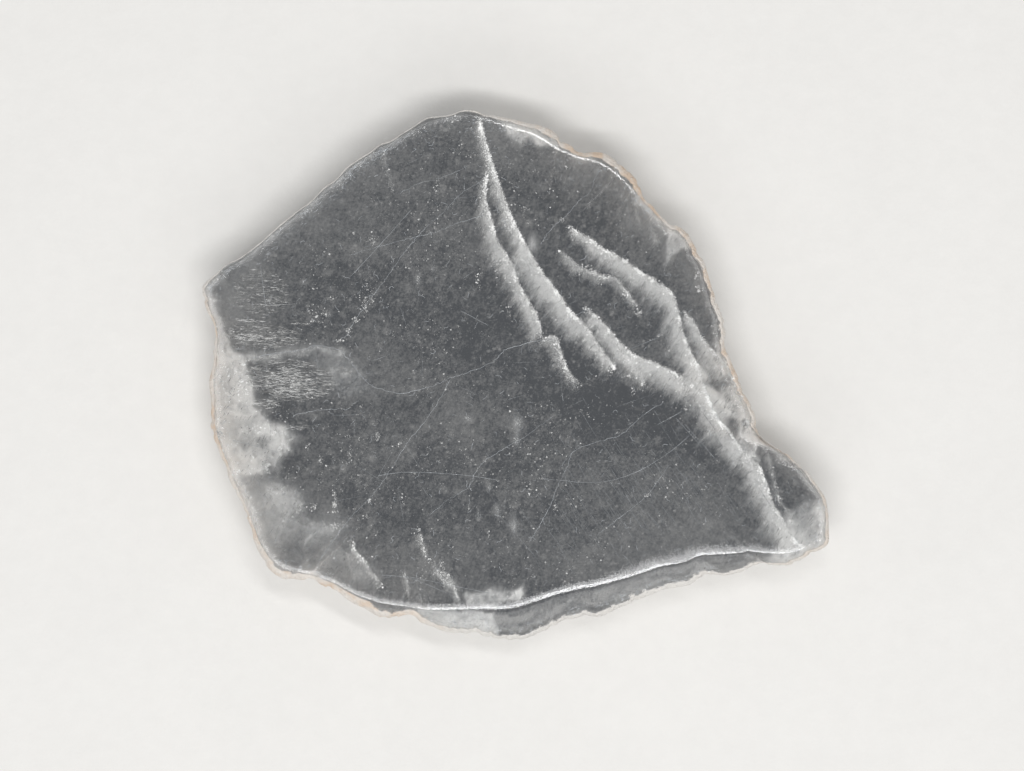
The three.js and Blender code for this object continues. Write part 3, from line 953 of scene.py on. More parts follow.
def shell_mesh(outer, inner, quads):
    """A closed shell between two layers of points, with a wall round each of its borders."""
    used = np.unique(quads)
    renumber = np.zeros(len(outer), int)
    renumber[used] = np.arange(len(used))
    quads = renumber[quads]
    edges = np.concatenate([quads[:, [i, (i + 1) % 4]] for i in range(4)])
    size = len(used)
    codes = edges[:, 0] * size + edges[:, 1]
    border = edges[~np.isin(codes, edges[:, 1] * size + edges[:, 0])]
    walls = np.column_stack([border[:, ::-1], border + size])
    faces = np.concatenate([quads, quads[:, ::-1] + size, walls])
    return np.concatenate([outer[used], inner[used]]), faces, used


def joined(*parts):
    """Several (points, faces, tones) meshes as one."""
    points, faces, tones, start = [], [], [], 0
    for some_points, some_faces, some_tones in parts:
        points.append(some_points)
        faces.append(some_faces + start)
        tones.append(some_tones)
        start += len(some_points)
    return np.concatenate(points), np.concatenate(faces), np.concatenate(tones)


# ---------------------------------------------------------------------------------------
# The slab's body


def slab_sections():
    """The CAD slab's rings in millimetres, base first: [level, place round it, xyz]."""
    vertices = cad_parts[NODE].data.vertices
    points = np.unique(np.round([tuple(v.co) for v in vertices], 8), axis=0) / MM
    turn = np.arctan2(points[:, 1], points[:, 0])
    order = np.argsort(turn)
    section = np.cumsum(np.diff(turn[order], prepend=turn[order][0]) > SAME_TURN)
    sections = [points[order][section == i] for i in range(section[-1] + 1)]
    levels = {len(s) for s in sections}
    if len(levels) != 1:
        raise RuntimeError(f"the slab's sections don't match: {levels}")
    return np.stack([s[np.argsort(s[:, 2])] for s in sections], axis=1)


def fine_sections():
    """The slab's rings again, with fine ones between them."""
    coarse = slab_sections()
    round_steps = [ROUND_STEPS] * coarse.shape[1]
    rings = np.swapaxes(refine(np.swapaxes(coarse, 0, 1), round_steps, closed=True), 0, 1)
    flank = []
    for low, high, steps in zip(rings, rings[1:], FLANK_STEPS):
        flank += [low + (high - low) * i / steps for i in range(steps)]
    rim = refine(rings[LEVELS_TO_RIM:], RIM_STEPS, curve=RIM_CURVE)
    for level, ring in enumerate(rim):
        step = (eased(ring, RIM_EASE) - ring) * level / (len(rim) - 1)
        inset = np.linalg.norm(ring - rim[0], axis=1)
        length = np.linalg.norm(step, axis=1)
        share = np.minimum(1, EASE_LIMIT * inset / np.maximum(length, TINY))
        rim[level] = ring + step * share[:, None]
    fine = np.concatenate([flank, rim])
    fine[..., 2] = np.clip(fine[..., 2] * FACE_Z * MM / HIGH.z, 0, FACE_Z)
    return fine, len(flank)


def outward(ring):
    """Unit vectors out of a ring, seen from above."""
    along = np.roll(ring, -1, axis=0)[:, :2] - np.roll(ring, 1, axis=0)[:, :2]
    along /= np.linalg.norm(along, axis=1, keepdims=True)
    return np.stack([along[:, 1], -along[:, 0]], axis=1)


def roughen(rings, outline_level, shape):
    """Breaks up the flanks into fibre bundles and nibbles the outline, always inwards."""
    outline = rings[outline_level]
    out = outward(outline)
    gaps = np.linalg.norm(np.roll(outline, -1, axis=0) - outline, axis=1)
    along = np.concatenate([[0], np.cumsum(gaps)[:-1]])
    total = gaps.sum()
    wrap = smoothstep(0, 6, along) * smoothstep(0, 6, total - along)
    natural = 1 - SAWN_SMOOTH * sawn_share(outline)
    rough = rings.copy()
    for level, ring in enumerate(rings):
        height = np.minimum(ring[:, 2], outline[:, 2])
        below = smoothstep(0, 2.5, outline[:, 2] - height)
        spots = np.stack([along + 300, height * 0.16 + 40], axis=1)
        bundles = 1 - np.abs(2 * layered_noise(spots, BUNDLE_WIDTH, 31, 2) - 1)
        spots = np.stack([along + 300, height * 0.07 + 9], axis=1)
        fibres = value_noise(spots, FIBRE_WIDTH, 37)
        spots = np.stack([along + 50, height * 0.8 + 20], axis=1)
        scoops = layered_noise(spots, SCOOP_WIDTH, 43, 2)
        spots = np.stack([along, height * 0.4], axis=1)
        nibbles = layered_noise(spots, NIBBLE_WIDTH, 41, 4)
        spots = np.stack([along + 80, height], axis=1)
        chips = smoothstep(0.62, 0.8, value_noise(spots, CHIP_WIDTH, 47))
        depth = (0.6 * nibbles + 0.6 * chips) * shape.nibble_depth
        depth = depth + below * (bundles**2 * shape.bundle_depth + fibres * shape.fibre_depth)
        depth = depth + below * smoothstep(0.35, 0.8, scoops) * shape.scoop_depth
        inset = np.linalg.norm(ring[:, :2] - outline[:, :2], axis=1)
        fade = 1 - smoothstep(0, 0.7, inset) if level > outline_level else 1
        rough[level, :, :2] -= out * (depth / MM * natural * wrap * fade + SKIN)[:, None]
    return rough


class Form:
    """The body's rings, and the heights of its surfaces looked up by places seen from above."""

    def __init__(self, shape):
        rings, self.outline_level = fine_sections()
        self.rings = roughen(rings, self.outline_level, shape)
        rim = self.rings[self.outline_level :]
        share = np.linspace(0, 1, len(rim))[:, None]
        rim[..., 2] -= ROLL_DROP * share * beside(rim[-1], ROLLED)[0]

    def look_up(self, rings, points):
        """The radius and height of each ring at the turns of points."""
        turn = np.arctan2(points[:, 1], points[:, 0])
        found = []
        for ring in rings:
            marks = np.arctan2(ring[:, 1], ring[:, 0])
            radius = np.hypot(ring[:, 0], ring[:, 1])
            found.append([np.interp(turn, marks, v, period=math.tau) for v in (radius, ring[:, 2])])
        return np.swapaxes(found, 0, 1)

    def height(self, points, rings, inside):
        """The height on rings that shrink inwards at points, and inside within the last one."""
        away = np.hypot(points[:, 0], points[:, 1])
        radii, heights = self.look_up(rings, points)
        level = np.zeros(len(points)) + inside
        for near, far, low, high in zip(radii, radii[1:], heights, heights[1:]):
            here = (away <= near) & (away > far)
            share = (near - away) / np.maximum(near - far, TINY)
            level = np.where(here, low + (high - low) * share, level)
        return level

    def ceiling(self, points):
        """The height of the upper surface at points seen from above."""
        return self.height(points, self.rings[self.outline_level :], FACE_Z - self.roll(points))

    def base(self, points):
        """The height of the flank or the base below points seen from above."""
        return self.height(points, self.rings[self.outline_level :: -1], 0)

    def roll(self, points):
        """How far the polished face has rolled off at points inside its border."""
        near = np.clip(1 - self.gap(points, self.rings[-1]) / ROLL_WIDTH, 0, 1)
        return ROLL_DROP * beside(points, ROLLED)[0] * near**2

    def gap(self, points, ring=None):
        """How far points are inside a ring, the outline unless given, or below 0 outside it."""
        outline = self.rings[self.outline_level] if ring is None else ring
        out = outward(outline)
        spoke = outline[:, :2] / np.linalg.norm(outline[:, :2], axis=1, keepdims=True)
        marks = np.arctan2(outline[:, 1], outline[:, 0])
        turn = np.arctan2(points[:, 1], points[:, 0])
        slant = np.clip(np.sum(out * spoke, axis=1), LEAST_SLANT, 1)
        slant = np.interp(turn, marks, slant, period=math.tau)
        radius = np.interp(turn, marks, np.hypot(outline[:, 0], outline[:, 1]), period=math.tau)
        return (radius - np.hypot(points[:, 0], points[:, 1])) * slant

    def keep_in(self, starts, ends, radii, proud):
        """Which needles or grains fit in the body, once each is pushed down to fit under it."""
        top = np.minimum(self.ceiling(starts[:, :2]), self.ceiling(ends[:, :2])) + proud
        push = np.minimum(0, top - radii - np.maximum(starts[:, 2], ends[:, 2]))
        low = np.maximum(self.base(starts[:, :2]), self.base(ends[:, :2])) + radii + BASE_ROOM
        fits = np.minimum(starts[:, 2], ends[:, 2]) + push > low
        inset = np.minimum(self.gap(starts[:, :2]), self.gap(ends[:, :2]))
        fits &= inset > EDGE_ROOM + radii
        return fits, push


def face_mesh(ring, spacing):
    """The polished face: points of its own inside a ring, and the triangles over all of them."""
    turn = np.arctan2(ring[:, 1], ring[:, 0])
    order = np.argsort(turn)
    radius = np.linalg.norm(ring[:, :2], axis=1)
    low, high = ring[:, :2].min(0), ring[:, :2].max(0)
    columns = np.arange(low[0], high[0], spacing)
    rows = np.arange(low[1], high[1], spacing * math.sqrt(3) / 2)
    x, y = np.meshgrid(columns, rows)
    x = x + (np.arange(len(rows)) % 2)[:, None] * spacing / 2
    grid = np.stack([x.ravel(), y.ravel()], axis=1)
    edge = np.interp(
        np.arctan2(grid[:, 1], grid[:, 0]), turn[order], radius[order], period=math.tau
    )
    grid = grid[np.linalg.norm(grid, axis=1) < edge - spacing]
    count = len(ring)
    flat = [Vector(p) for p in np.concatenate([ring[:, :2], grid])]
    _, _, faces, sources, *_ = delaunay_2d_cdt(flat, [], [list(range(count))], 1, 1e-6)
    source = [s[0] for s in sources]
    inner = np.column_stack([grid, np.full(len(grid), FACE_Z)])
    return inner, [[source[i] for i in face] for face in faces]


def stone_values(form, points):
    """What the stone's material reads at each of the body's points."""
    count = form.rings.shape[1]
    plan = points[:, :2]
    gap = form.gap(plan)
    outline = form.outline_level * count
    broken = np.zeros(len(points))
    broken[:outline] = 1
    broken[outline : outline + len(RIM_BROKEN) * count] = np.repeat(RIM_BROKEN, count)
    rough = RIM_FROST * (1 - edge_look(plan)[3]) * np.exp(-((gap / RIM_FROST_WIDTH) ** 4))
    # The rim's face is painted lighter where it slopes down from the polished face: rubbed white
    # streaks, and painted sheen in place of the light it reflects.
    turn = np.arctan2(plan[:, 1], plan[:, 0])
    rubbed = layered_noise(np.stack([16 * turn + 200, 4 * gap + 50], axis=1), 1.2, 99, 3)
    near_rim = 0.8 * smoothstep(0.45, 0.6, rubbed) * (gap < RUBBED_WIDTH)
    rubbed = 1.9 * smoothstep(0.25, 0.75, rubbed) + near_rim
    milk_and_sheen = RIM_MILK_AND_SHEEN * rubbed * smoothstep(0.1, 0.45, FACE_Z - points[:, 2])
    milk_and_sheen[:outline] = FLANK_MILK
    clear = (1 - CLEAR_MILK) * (1 - haze(plan, gap)) * (1 - milk_and_sheen)
    return {
        "broken": np.maximum(broken, rough),
        "milk": 1 - clear * (1 - whiteness(plan, gap)),
        "silk": painted_silk_sheen(plan),
        "stain": staining(plan, gap),
    }


def build_body(shape, material):
    """The body as one closed mesh: its rings, the polished face within them and the base."""
    form = Form(shape)
    levels, count, _ = form.rings.shape
    faces = ring_quads(levels, count).tolist()
    inner, cap = face_mesh(form.rings[-1], shape.face_spacing / MM)
    inner[:, 2] -= form.roll(inner)
    top = (levels - 1) * count
    faces += [[top + i for i in face] for face in cap]
    base = len(faces)
    faces.append(list(range(count))[::-1])
    points = np.concatenate([form.rings.reshape(-1, 3), inner])
    body = mesh_object("slab_body", points, faces, material)
    body.data.polygons[base].use_smooth = False
    for name, values in stone_values(form, points).items():
        point_values(body.data, name, values)
    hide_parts(NODE)
    return body


def build_crust(shape, material):
    """The chalky crust on the natural flanks, with a ragged border over the rim."""
    form = Form(shape)
    outline = form.rings[form.outline_level]
    out = np.column_stack([outward(outline), np.zeros(len(outline))])
    rings = form.rings[: form.outline_level + CRUST_RINGS]
    along = np.arange(len(outline)) * CRUST_STEP
    cover, outer, inner = [], [], []
    _, _, reach, _ = edge_look(outline)
    for ring in rings:
        inset = np.linalg.norm(ring[:, :2] - outline[:, :2], axis=1)
        inset = np.where(ring[:, 2] < outline[:, 2], 0, inset)
        spots = np.stack([along + 10, ring[:, 2] * 0.5 + 30], axis=1)
        wear = layered_noise(spots, 3.2, 61, 4)
        edge = reach * (0.5 + 1.2 * layered_noise(spots, 0.9, 67, 3)) - inset
        buried = smoothstep(0.1, 0.5, outline[:, 2] - ring[:, 2]) * sawn_share(outline)
        here = np.minimum(0.3 + 0.7 * smoothstep(0.3, 0.6, wear), edge * 6) - 2 * buried
        cover.append(here)
        lift = np.clip(here, -0.4, 1)[:, None] * SKIN * 0.9
        tilt = smoothstep(0, 0.25, inset)[:, None]
        lift_to = out * (1 - 0.5 * tilt) + [0, 0, 1] * tilt * 0.4
        outer.append(ring + lift_to * lift)
        inner.append(ring - lift_to * CRUST_SINK)
    quads = ring_quads(len(rings), len(outline))
    cover = np.concatenate(cover)
    quads = quads[cover[quads].max(axis=1) > 0]
    outer = np.concatenate(outer)
    outer[:, 2] = np.clip(outer[:, 2], 0, FACE_Z - 0.005)
    points, faces, _ = shell_mesh(outer, np.concatenate(inner), quads)
    crust = mesh_object("edge_crust", points, faces, material)
    tan = edge_look(points)[0]
    spots = points[:, :2] + [[90, 90]] + points[:, 2:] * [[0, 0.5]]
    blotch = smoothstep(0.35, 0.7, layered_noise(spots, 1.7, 83, 3))
    near_top = 0.2 + 0.8 * smoothstep(6, 9.2, points[:, 2])
    point_values(crust.data, "stain", np.clip(tan * (0.35 + 0.9 * blotch) * near_top, 0, 1))
    return crust


# ---------------------------------------------------------------------------------------
# Veils, fibres and grains in the stone


def build_veils(form, material):
    """The milky stone: veils just under the face where it is white, that sink as it fades."""
    along, across = VEIL_STEPS
    side = np.array([-LEAN[1], LEAN[0]])
    reach = np.linalg.norm([HIGH.x, HIGH.y]) / MM
    rows = int(reach / along)
    columns = int(reach / across)
    steps = np.arange(-rows, rows + 1), np.arange(-columns, columns + 1)
    i, j = np.meshgrid(*steps, indexing="ij")
    plan = i.reshape(-1, 1) * along * LEAN + j.reshape(-1, 1) * across * side
    gap = form.gap(plan)
    inside = gap > VEIL_EDGE_ROOM / 2
    white = np.zeros(len(plan))
    white[inside] = whiteness(plan[inside], gap[inside])
    faintest = math.exp(-(((MILK_FLOOR - MILK_TOP) / MILK_SCALE) ** (1 / MILK_CURVE)))
    fading = -np.log(np.clip(white, faintest, 1))
    depth = MILK_TOP + MILK_SCALE * fading**MILK_CURVE
    top = form.ceiling(plan) - depth
    base = form.base(plan) + VEIL_BASE_ROOM
    top = np.maximum(top, base + VEIL_LEAST)
    lowest = np.minimum(base, top - VEIL_LEAST)
    low = np.maximum(top - VEIL_THIN - VEIL_THICK * white, lowest)
    start = (np.arange(2 * rows)[:, None] * (2 * columns + 1) + np.arange(2 * columns)).ravel()
    quads = np.column_stack([start, start + 2 * columns + 1, start + 2 * columns + 2, start + 1])
    good = inside & (gap > VEIL_EDGE_ROOM)
    quads = quads[good[quads].all(axis=1) & (white[quads].max(axis=1) > faintest)]
    outer, inner = np.column_stack([plan, top]), np.column_stack([plan, low])
    points, faces, used = shell_mesh(outer, inner, quads)
    veils = mesh_object("milky_veils", points, faces, material, tone=np.ones(len(points)))
    point_values(veils.data, "stain", np.tile(staining(plan[used], gap[used]), 2))
    return veils


FUR_PER_MM = 40  # strokes for each millimetre of a vein
FUR_SWING = 11  # degrees that they swing from LEAN
FRONT_SHARE = 0.35  # of them are short and stand at the vein's front
FRONT_SWING = 32


def fitted_needles(form, starts, ends, radii, tones, proud=-0.01):
    """Needles pushed down until they are no more than proud above the stone's surface."""
    fits, push = form.keep_in(starts, ends, radii, proud)
    down = np.column_stack([np.zeros((len(push), 2)), push])
    points, faces = needle_mesh((starts + down)[fits], (ends + down)[fits], radii[fits])
    return points, faces, np.repeat(tones[fits], 5)


def fitted_crumbs(form, spots, depths, radii, tones, rng):
    """Crumbs whose tops lie depths below the most that they may stand above the stone."""
    tops = np.column_stack([spots, form.ceiling(spots) + PROUD - depths])
    fits = form.gap(spots) > EDGE_ROOM + 1.3 * radii
    fits &= tops[:, 2] - 0.1 - radii > form.base(spots)
    points, faces = crumb_mesh(tops[fits], radii[fits], rng)
    return points, faces, np.repeat(tones[fits], CRUMB_SIDES + 2)


def along_vein(vein, per_mm, rng):
    """Random places along a vein: how far along its line, where, and how far it shows there."""
    line = smooth_line(vein.line)
    along = lengths_along(line)
    where = rng.uniform(0, along[-1], int(along[-1] * per_mm))
    spots = np.stack([np.interp(where, along, line[:, k]) for k in (0, 1)], axis=1)
    return where, spots, reach_at(vein, where / along[-1])


def noise_along(where, cell, row, seed):
    """Smooth noise from 0 to 1 along a line, that lies in the given row of the noise."""
    return value_noise(np.stack([where, where * 0 + row], axis=1), cell, seed)


def vein_needles(form, vein, number, per_mm):
    """Needles that follow a vein down from its line."""
    rng = draws("needles", number)
    where, place, reach = along_vein(vein, per_mm * vein.strength, rng)
    count = len(where)
    seed = SEEDS["needles"] + number
    feather = 0.4 + 1.1 * noise_along(where, 0.5, seed, seed)
    sunk = reach * feather * rng.beta(0.9, 1.8, count)
    start = place + LEAN * sunk[:, None] + rng.normal(0, 0.12, (count, 2))
    length = rng.uniform(0.2, 0.9, count) * (0.4 + 0.4 * np.minimum(reach, 2))
    swing = rng.normal(0, 0.16, count)
    ahead = np.stack([LEAN[0] - swing * LEAN[1], LEAN[1] + swing * LEAN[0]], axis=1)
    end = start + ahead * length[:, None]
    top = FACE_Z - 0.05 - sunk * 0.55 - rng.exponential(0.1, count)
    low = top - length * 0.55
    radii = rng.uniform(0.012, 0.03, count)
    starts, ends = np.column_stack([start, top]), np.column_stack([end, low])
    return fitted_needles(form, starts, ends, radii, np.ones(count))


def vein_fur(form, vein, number):
    """Short strokes on the face along LEAN, where a vein's glow fades out, and at its front."""
    rng = draws("fur", number)
    where, place, reach = along_vein(vein, FUR_PER_MM * vein.strength, rng)
    count = len(where)
    front = rng.random(count) < FRONT_SHARE
    ahead = rng.normal(-0.12, 0.12, count)
    sunk = np.where(front, ahead, reach * rng.triangular(0.1, 0.95, 1.35, count))
    spots = place + LEAN * sunk[:, None]
    glow = trail(spots, vein, SEEDS["fur"] + number)
    turns = LEAN_TURN + rng.normal(0, 1, count) * np.where(front, FRONT_SWING, FUR_SWING)
    lengths = rng.uniform(0.25, 0.9, count) * np.where(front, 0.55, 1)
    radii = rng.uniform(0.015, 0.035, count)
    tones = np.clip(0.2 + 0.45 * glow + 0.15 * front + rng.normal(0, 0.06, count), 0.17, 0.9)
    depths = rng.exponential(0.02, count) - PROUD
    return laid_needles(form, spots, turns, lengths, radii, depths, tones, 0.05)


def vein_sugar(form, vein, number, share):
    """Bright crumbs along a vein's line, in clumps."""
    rng = draws("sugar", number)
    where, spots, _ = along_vein(vein, vein.sugar * share * 2, rng)
    seed = SEEDS["sugar"] + number
    clumps = noise_along(where + 9, 0.7, seed, seed + 3)
    chosen = rng.random(len(where)) < 0.22 + clumps**2
    spots, clumps = spots[chosen], clumps[chosen]
    count = len(spots)
    sunk = rng.exponential(0.19, count) - VEIN_LEAD
    spots = spots + rng.normal(0, 0.1, (count, 2)) + LEAN * sunk[:, None]
    radii = crumb_radii(rng, count, 0.021, 1.3, 0.02)
    tones = (0.45 + 0.65 * clumps) * (0.6 + 0.4 * vein.strength)
    tones = np.clip(tones + rng.normal(0, 0.09, count), 0.3, 1)
    return fitted_crumbs(form, spots, rng.exponential(0.008, count), radii, tones, rng)


def spots_inside(form, count, rng):
    """Random places on the face."""
    spots = rng.uniform((LOW.x, LOW.y), (HIGH.x, HIGH.y), (count, 2)) / MM
    return spots[form.gap(spots) > 0.3]


def frost(form, amounts):
    """Crumbs over the milky stone, denser where it is whiter."""
    rng = draws("frost")
    spots = spots_inside(form, 8 * amounts.frost, rng)
    white = whiteness(spots, form.gap(spots))
    crowd = smoothstep(0.3, 0.7, layered_noise(spots + 500, 1.8, 93, 3))
    chosen = rng.random(len(spots)) < white**1.6 * crowd
    spots, white = spots[chosen][: amounts.frost], white[chosen][: amounts.frost]
    count = len(spots)
    radii = crumb_radii(rng, count, 0.025, 1.5, 0.022)
    tones = np.clip(0.2 + 0.62 * white + rng.normal(0, 0.1, count), 0.2, 0.95)
    return fitted_crumbs(form, spots, rng.exponential(0.01, count), radii, tones, rng)


def dots(form, amounts):
    """Faint dots all through the clear stone, a few of them bright."""
    rng = draws("dots")
    spots = spots_inside(form, 2 * amounts.dots, rng)
    crowd = smoothstep(0.35, 0.75, layered_noise(spots + 400, 5, 91, 7))
    chosen = rng.random(len(spots)) < 0.1 + 0.9 * crowd**2
    chosen &= whiteness(spots, form.gap(spots)) < 0.25
    spots = spots[chosen]
    count = len(spots)
    bright = rng.beta(0.7, 3.6, count)
    radii = np.minimum(0.028 + rng.gamma(1.3, 0.02, count) * (0.8 + bright), CRUMB_MOST)
    tones = 0.19 + 0.6 * bright
    return fitted_crumbs(form, spots, rng.exponential(0.008, count), radii, tones, rng)


def speck_grains(form):
    """Clusters of bright crumbs, small rings of them and bigger nodules."""
    rng = draws("specks")
    parts = []
    for speck in SPECKS:
        count = int(SPECK_SHARE * speck.count)
        spots = rng.normal(0, 0.6, (count, 2)) * (speck.width, speck.height)
        spots = spots + (speck.x, speck.y)
        radii = crumb_radii(rng, count, 0.025, 1.5, 0.022, 0.13)
        tones = rng.beta(1.4, 1.8, count) * 0.6 + 0.22
        depths = rng.exponential(0.01, count)
        parts.append(fitted_crumbs(form, spots, depths, radii, tones, rng))
    for x, y, radius in RINGS:
        turn = rng.uniform(0, math.tau, int(RING_CRUMBS * radius))
        away = radius * (1 + rng.normal(0, 0.12, len(turn)))
        spots = np.stack([x + away * np.cos(turn), y + away * np.sin(turn)], axis=1)
        radii = rng.uniform(0.025, 0.06, len(turn))
        tones = rng.uniform(0.3, 0.65, len(turn))
        parts.append(fitted_crumbs(form, spots, 0 * turn, radii, tones, rng))
    for x, y, size in NODULES:
        count = NODULE_CRUMBS
        spots = rng.normal(0, 0.45 * size, (count, 2)) + (x, y)
        radii = size * rng.uniform(0.2, 0.65, count)
        tones = rng.uniform(0.35, 0.7, count)
        parts.append(fitted_crumbs(form, spots, rng.uniform(0, 0.03, count), radii, tones, rng))
    return joined(*parts)


def laid_needles(form, spots, turns, lengths, radii, depths, tones, dive=0.0):
    """Needles at spots seen from above, turned by turns in degrees and at depths."""
    ahead = np.stack([np.cos(np.radians(turns)), np.sin(np.radians(turns))], axis=1)
    half = ahead * lengths[:, None] / 2
    top = FACE_Z - depths
    starts = np.column_stack([spots - half, top])
    ends = np.column_stack([spots + half, top - dive * lengths])
    return fitted_needles(form, starts, ends, radii, tones, PROUD)


def satin(form):
    """The silky near-level streaks."""
    rng = draws("satin")
    lean = math.tan(math.radians(STREAK_LEAN))
    parts = []
    for group in STREAKS:
        count = group.count
        share = rng.beta(1.3, 1.3, count)
        x = group.left + (group.right - group.left) * share
        room = 0.35 + 2.6 * share * (1 - share)
        away = (group.high - group.low) * room * (rng.random(count) - 0.5)
        y = (group.low + group.high) / 2 + away
        spots = np.column_stack([x, y + (x - (group.left + group.right) / 2) * lean])
        lengths = rng.gamma(1.6, 0.38, count) + 0.12
        turns = STREAK_LEAN + rng.normal(0, 8, count)
        radii = 0.012 + rng.gamma(2, 0.008, count)
        tones = np.clip(group.white * rng.gamma(1.7, 0.75, count), 0.14, 0.9)
        depths = rng.exponential(0.03, count) - PROUD
        parts.append(laid_needles(form, spots, turns, lengths, radii, depths, tones))
    return joined(*parts)


def wisps(form, amounts):
    """Faint short fibres along LEAN in the clear stone, most of them by the veins."""
    rng = draws("wisps")
    spots = spots_inside(form, 6 * amounts.wisps, rng)
    near = whiteness(spots - 1.3 * LEAN, form.gap(spots))
    right = smoothstep(-14, 20, spots[:, 0] - 0.4 * spots[:, 1])
    chosen = rng.random(len(spots)) < 0.06 + 0.4 * near + 0.12 * right
    spots = spots[chosen][: amounts.wisps]
    count = len(spots)
    turns = LEAN_TURN + rng.normal(0, 9, count)
    lengths = rng.gamma(2, 0.25, count) + 0.15
    depths = rng.exponential(0.1, count) - PROUD
    radii = rng.gamma(3, 0.009, count) + 0.012
    tones = rng.uniform(0.2, 0.5, count)
    return laid_needles(form, spots, turns, lengths, radii, depths, tones, 0.1)


def polish_lines(form, amounts):
    """Fine parallel scratches, and a few stray ones."""
    rng = draws("polish")
    x, y, width, height = POLISH
    count = amounts.polish_lines
    spots = rng.normal(0, 0.55, (count, 2)) * (width, height) + (x, y)
    turns = POLISH_LEAN + rng.normal(0, 2.5, count)
    lengths = rng.uniform(1.5, 6, count)
    radii = rng.uniform(0.022, 0.036, count)
    depths = np.full(count, -PROUD)
    fine = laid_needles(form, spots, turns, lengths, radii, depths, rng.uniform(0.18, 0.26, count))
    stray = spots_inside(form, STRAY_LINES, rng)
    count = len(stray)
    turns = rng.uniform(0, 180, count)
    radii = rng.uniform(0.012, 0.024, count)
    lengths = rng.uniform(1, 8, count)
    depths = np.full(count, -PROUD)
    others = laid_needles(form, stray, turns, lengths, radii, depths, rng.uniform(0.2, 0.45, count))
    return joined(fine, others)


THREAD_TONE = 0.42


def thread_along(form, line, radius, tone, rng, wobble):
    """A thread of uneven thickness and whiteness that just breaks the face."""
    smooth = smooth_line(line, 8)
    smooth = smooth + rng.normal(0, wobble, smooth.shape)
    smooth = smooth[form.gap(smooth) > 0.25]
    radii = radius * rng.uniform(0.5, 1.25, len(smooth))
    height = form.ceiling(smooth) + PROUD - radii - rng.uniform(0, 0.012, len(smooth))
    points, faces = thread_mesh(np.column_stack([smooth, height]), radii)
    tones = tone * (0.6 + 0.8 * value_noise(points[:, :2], 1.3, 97))
    return points, faces, tones


def threads(form, lines, name, radius, wobble):
    """A thread along each of the lines."""
    rng = draws(name)
    return joined(*[thread_along(form, line, radius, THREAD_TONE, rng, wobble) for line in lines])


def rim_strokes(form, amounts):
    """Rubbed strokes on the bevel, along the rim."""
    rng = draws("rim")
    count = amounts.rim_strokes
    outline = form.rings[form.outline_level, :, :2]
    place = rng.integers(0, len(outline), count)
    out = outward(form.rings[form.outline_level])[place]
    inset = 0.25 + rng.gamma(2.2, 0.42, count)
    spots = outline[place] - out * inset[:, None]
    rubbed = layered_noise(np.stack([place * 0.1, 3 * inset + 50], axis=1), 1.6, 311, 3)
    chosen = (rng.random(count) < 1.3 * smoothstep(0.42, 0.7, rubbed)) & (edge_look(spots)[3] > 0.3)
    spots, out = spots[chosen], out[chosen]
    count = len(spots)
    turns = np.degrees(np.arctan2(out[:, 0], -out[:, 1])) + rng.normal(0, 4, count)
    lengths = rng.gamma(2, 0.12, count) + 0.12
    radii = rng.uniform(0.016, 0.034, count)
    tones = rng.uniform(0.45, 0.8, count)
    return laid_needles(form, spots, turns, lengths, radii, np.full(count, -PROUD), tones)


def curls(form, amounts):
    """Tiny curled hairs on the face."""
    rng = draws("curls")
    made = []
    for spot in spots_inside(form, amounts.curls, rng):
        steps = rng.integers(5, 12)
        turn = rng.uniform(0, math.tau) + np.cumsum(rng.normal(0, 0.45, steps))
        line = spot + 0.11 * np.cumsum(np.stack([np.cos(turn), np.sin(turn)], axis=1), axis=0)
        if form.gap(line).min() > 0.4:
            radii = rng.uniform(0.014, 0.032, steps)
            height = form.ceiling(line) + PROUD - radii - rng.uniform(0, 0.02)
            points, faces = thread_mesh(np.column_stack([line, height]), radii)
            made.append((points, faces, np.full(len(points), rng.uniform(0.24, 0.64))))
    return joined(*made)


# ---------------------------------------------------------------------------------------
# Materials


def new_tree(name):
    """A new material with an empty node tree."""
    material = bpy.data.materials.new(name)
    material.use_nodes = True
    material.node_tree.nodes.clear()
    return material, material.node_tree


def feed(tree, socket, value):
    """Links an output to an input, or sets the input's plain value."""
    if isinstance(value, bpy.types.NodeSocket):
        tree.links.new(value, socket)
    elif value is not None:
        socket.default_value = (*value, 1) if socket.type == "RGBA" and len(value) == 3 else value


def node(tree, kind, settings=None, **inputs):
    """A shader node; inputs are given by name, with _ for a space."""
    made = tree.nodes.new("ShaderNode" + kind)
    for name, value in (settings or {}).items():
        setattr(made, name, value)
    for name, value in inputs.items():
        feed(tree, made.inputs[name.replace("_", " ")], value)
    return made


def mixed(tree, factor, a, b, blend="MIX"):
    """The colour between a and b."""
    made = node(tree, "Mix", {"data_type": "RGBA", "blend_type": blend}, Factor=factor)
    first, second = [s for s in made.inputs if s.type == "RGBA"]
    feed(tree, first, a)
    feed(tree, second, b)
    return next(s for s in made.outputs if s.type == "RGBA")


def maths(tree, operation, *values):
    """The outcome of a sum on values or outputs."""
    made = node(tree, "Math", {"operation": operation})
    for socket, value in zip(made.inputs, values):
        feed(tree, socket, value)
    return made.outputs[0]


def spread(tree, value, low, high, to_low=0.0, to_high=1.0):
    """A value mapped from one range to another, and kept in it."""
    made = node(tree, "MapRange", None, Value=value, From_Min=low, From_Max=high)
    made.inputs["To Min"].default_value = to_low
    made.inputs["To Max"].default_value = to_high
    return made.outputs["Result"]


def attribute(tree, name):
    """The number that each point of the mesh holds by that name."""
    return node(tree, "Attribute", {"attribute_name": name}).outputs["Fac"]


def places(tree, stretch=(1, 1, 1), turn=0):
    """Places on the piece, in metres, for a texture that is stretched, then turned in degrees."""
    spot = node(tree, "TexCoord").outputs["Object"]
    kind = {"vector_type": "TEXTURE"}
    turned = (0, 0, math.radians(turn))
    return node(tree, "Mapping", kind, Vector=spot, Scale=stretch, Rotation=turned).outputs[0]


def noise(tree, vector, scale, detail=2.0, rough=0.5):
    """Blender's noise at places, from 0 to 1."""
    made = node(tree, "TexNoise", None, Vector=vector, Scale=scale, Detail=detail, Roughness=rough)
    return made.outputs["Fac"]


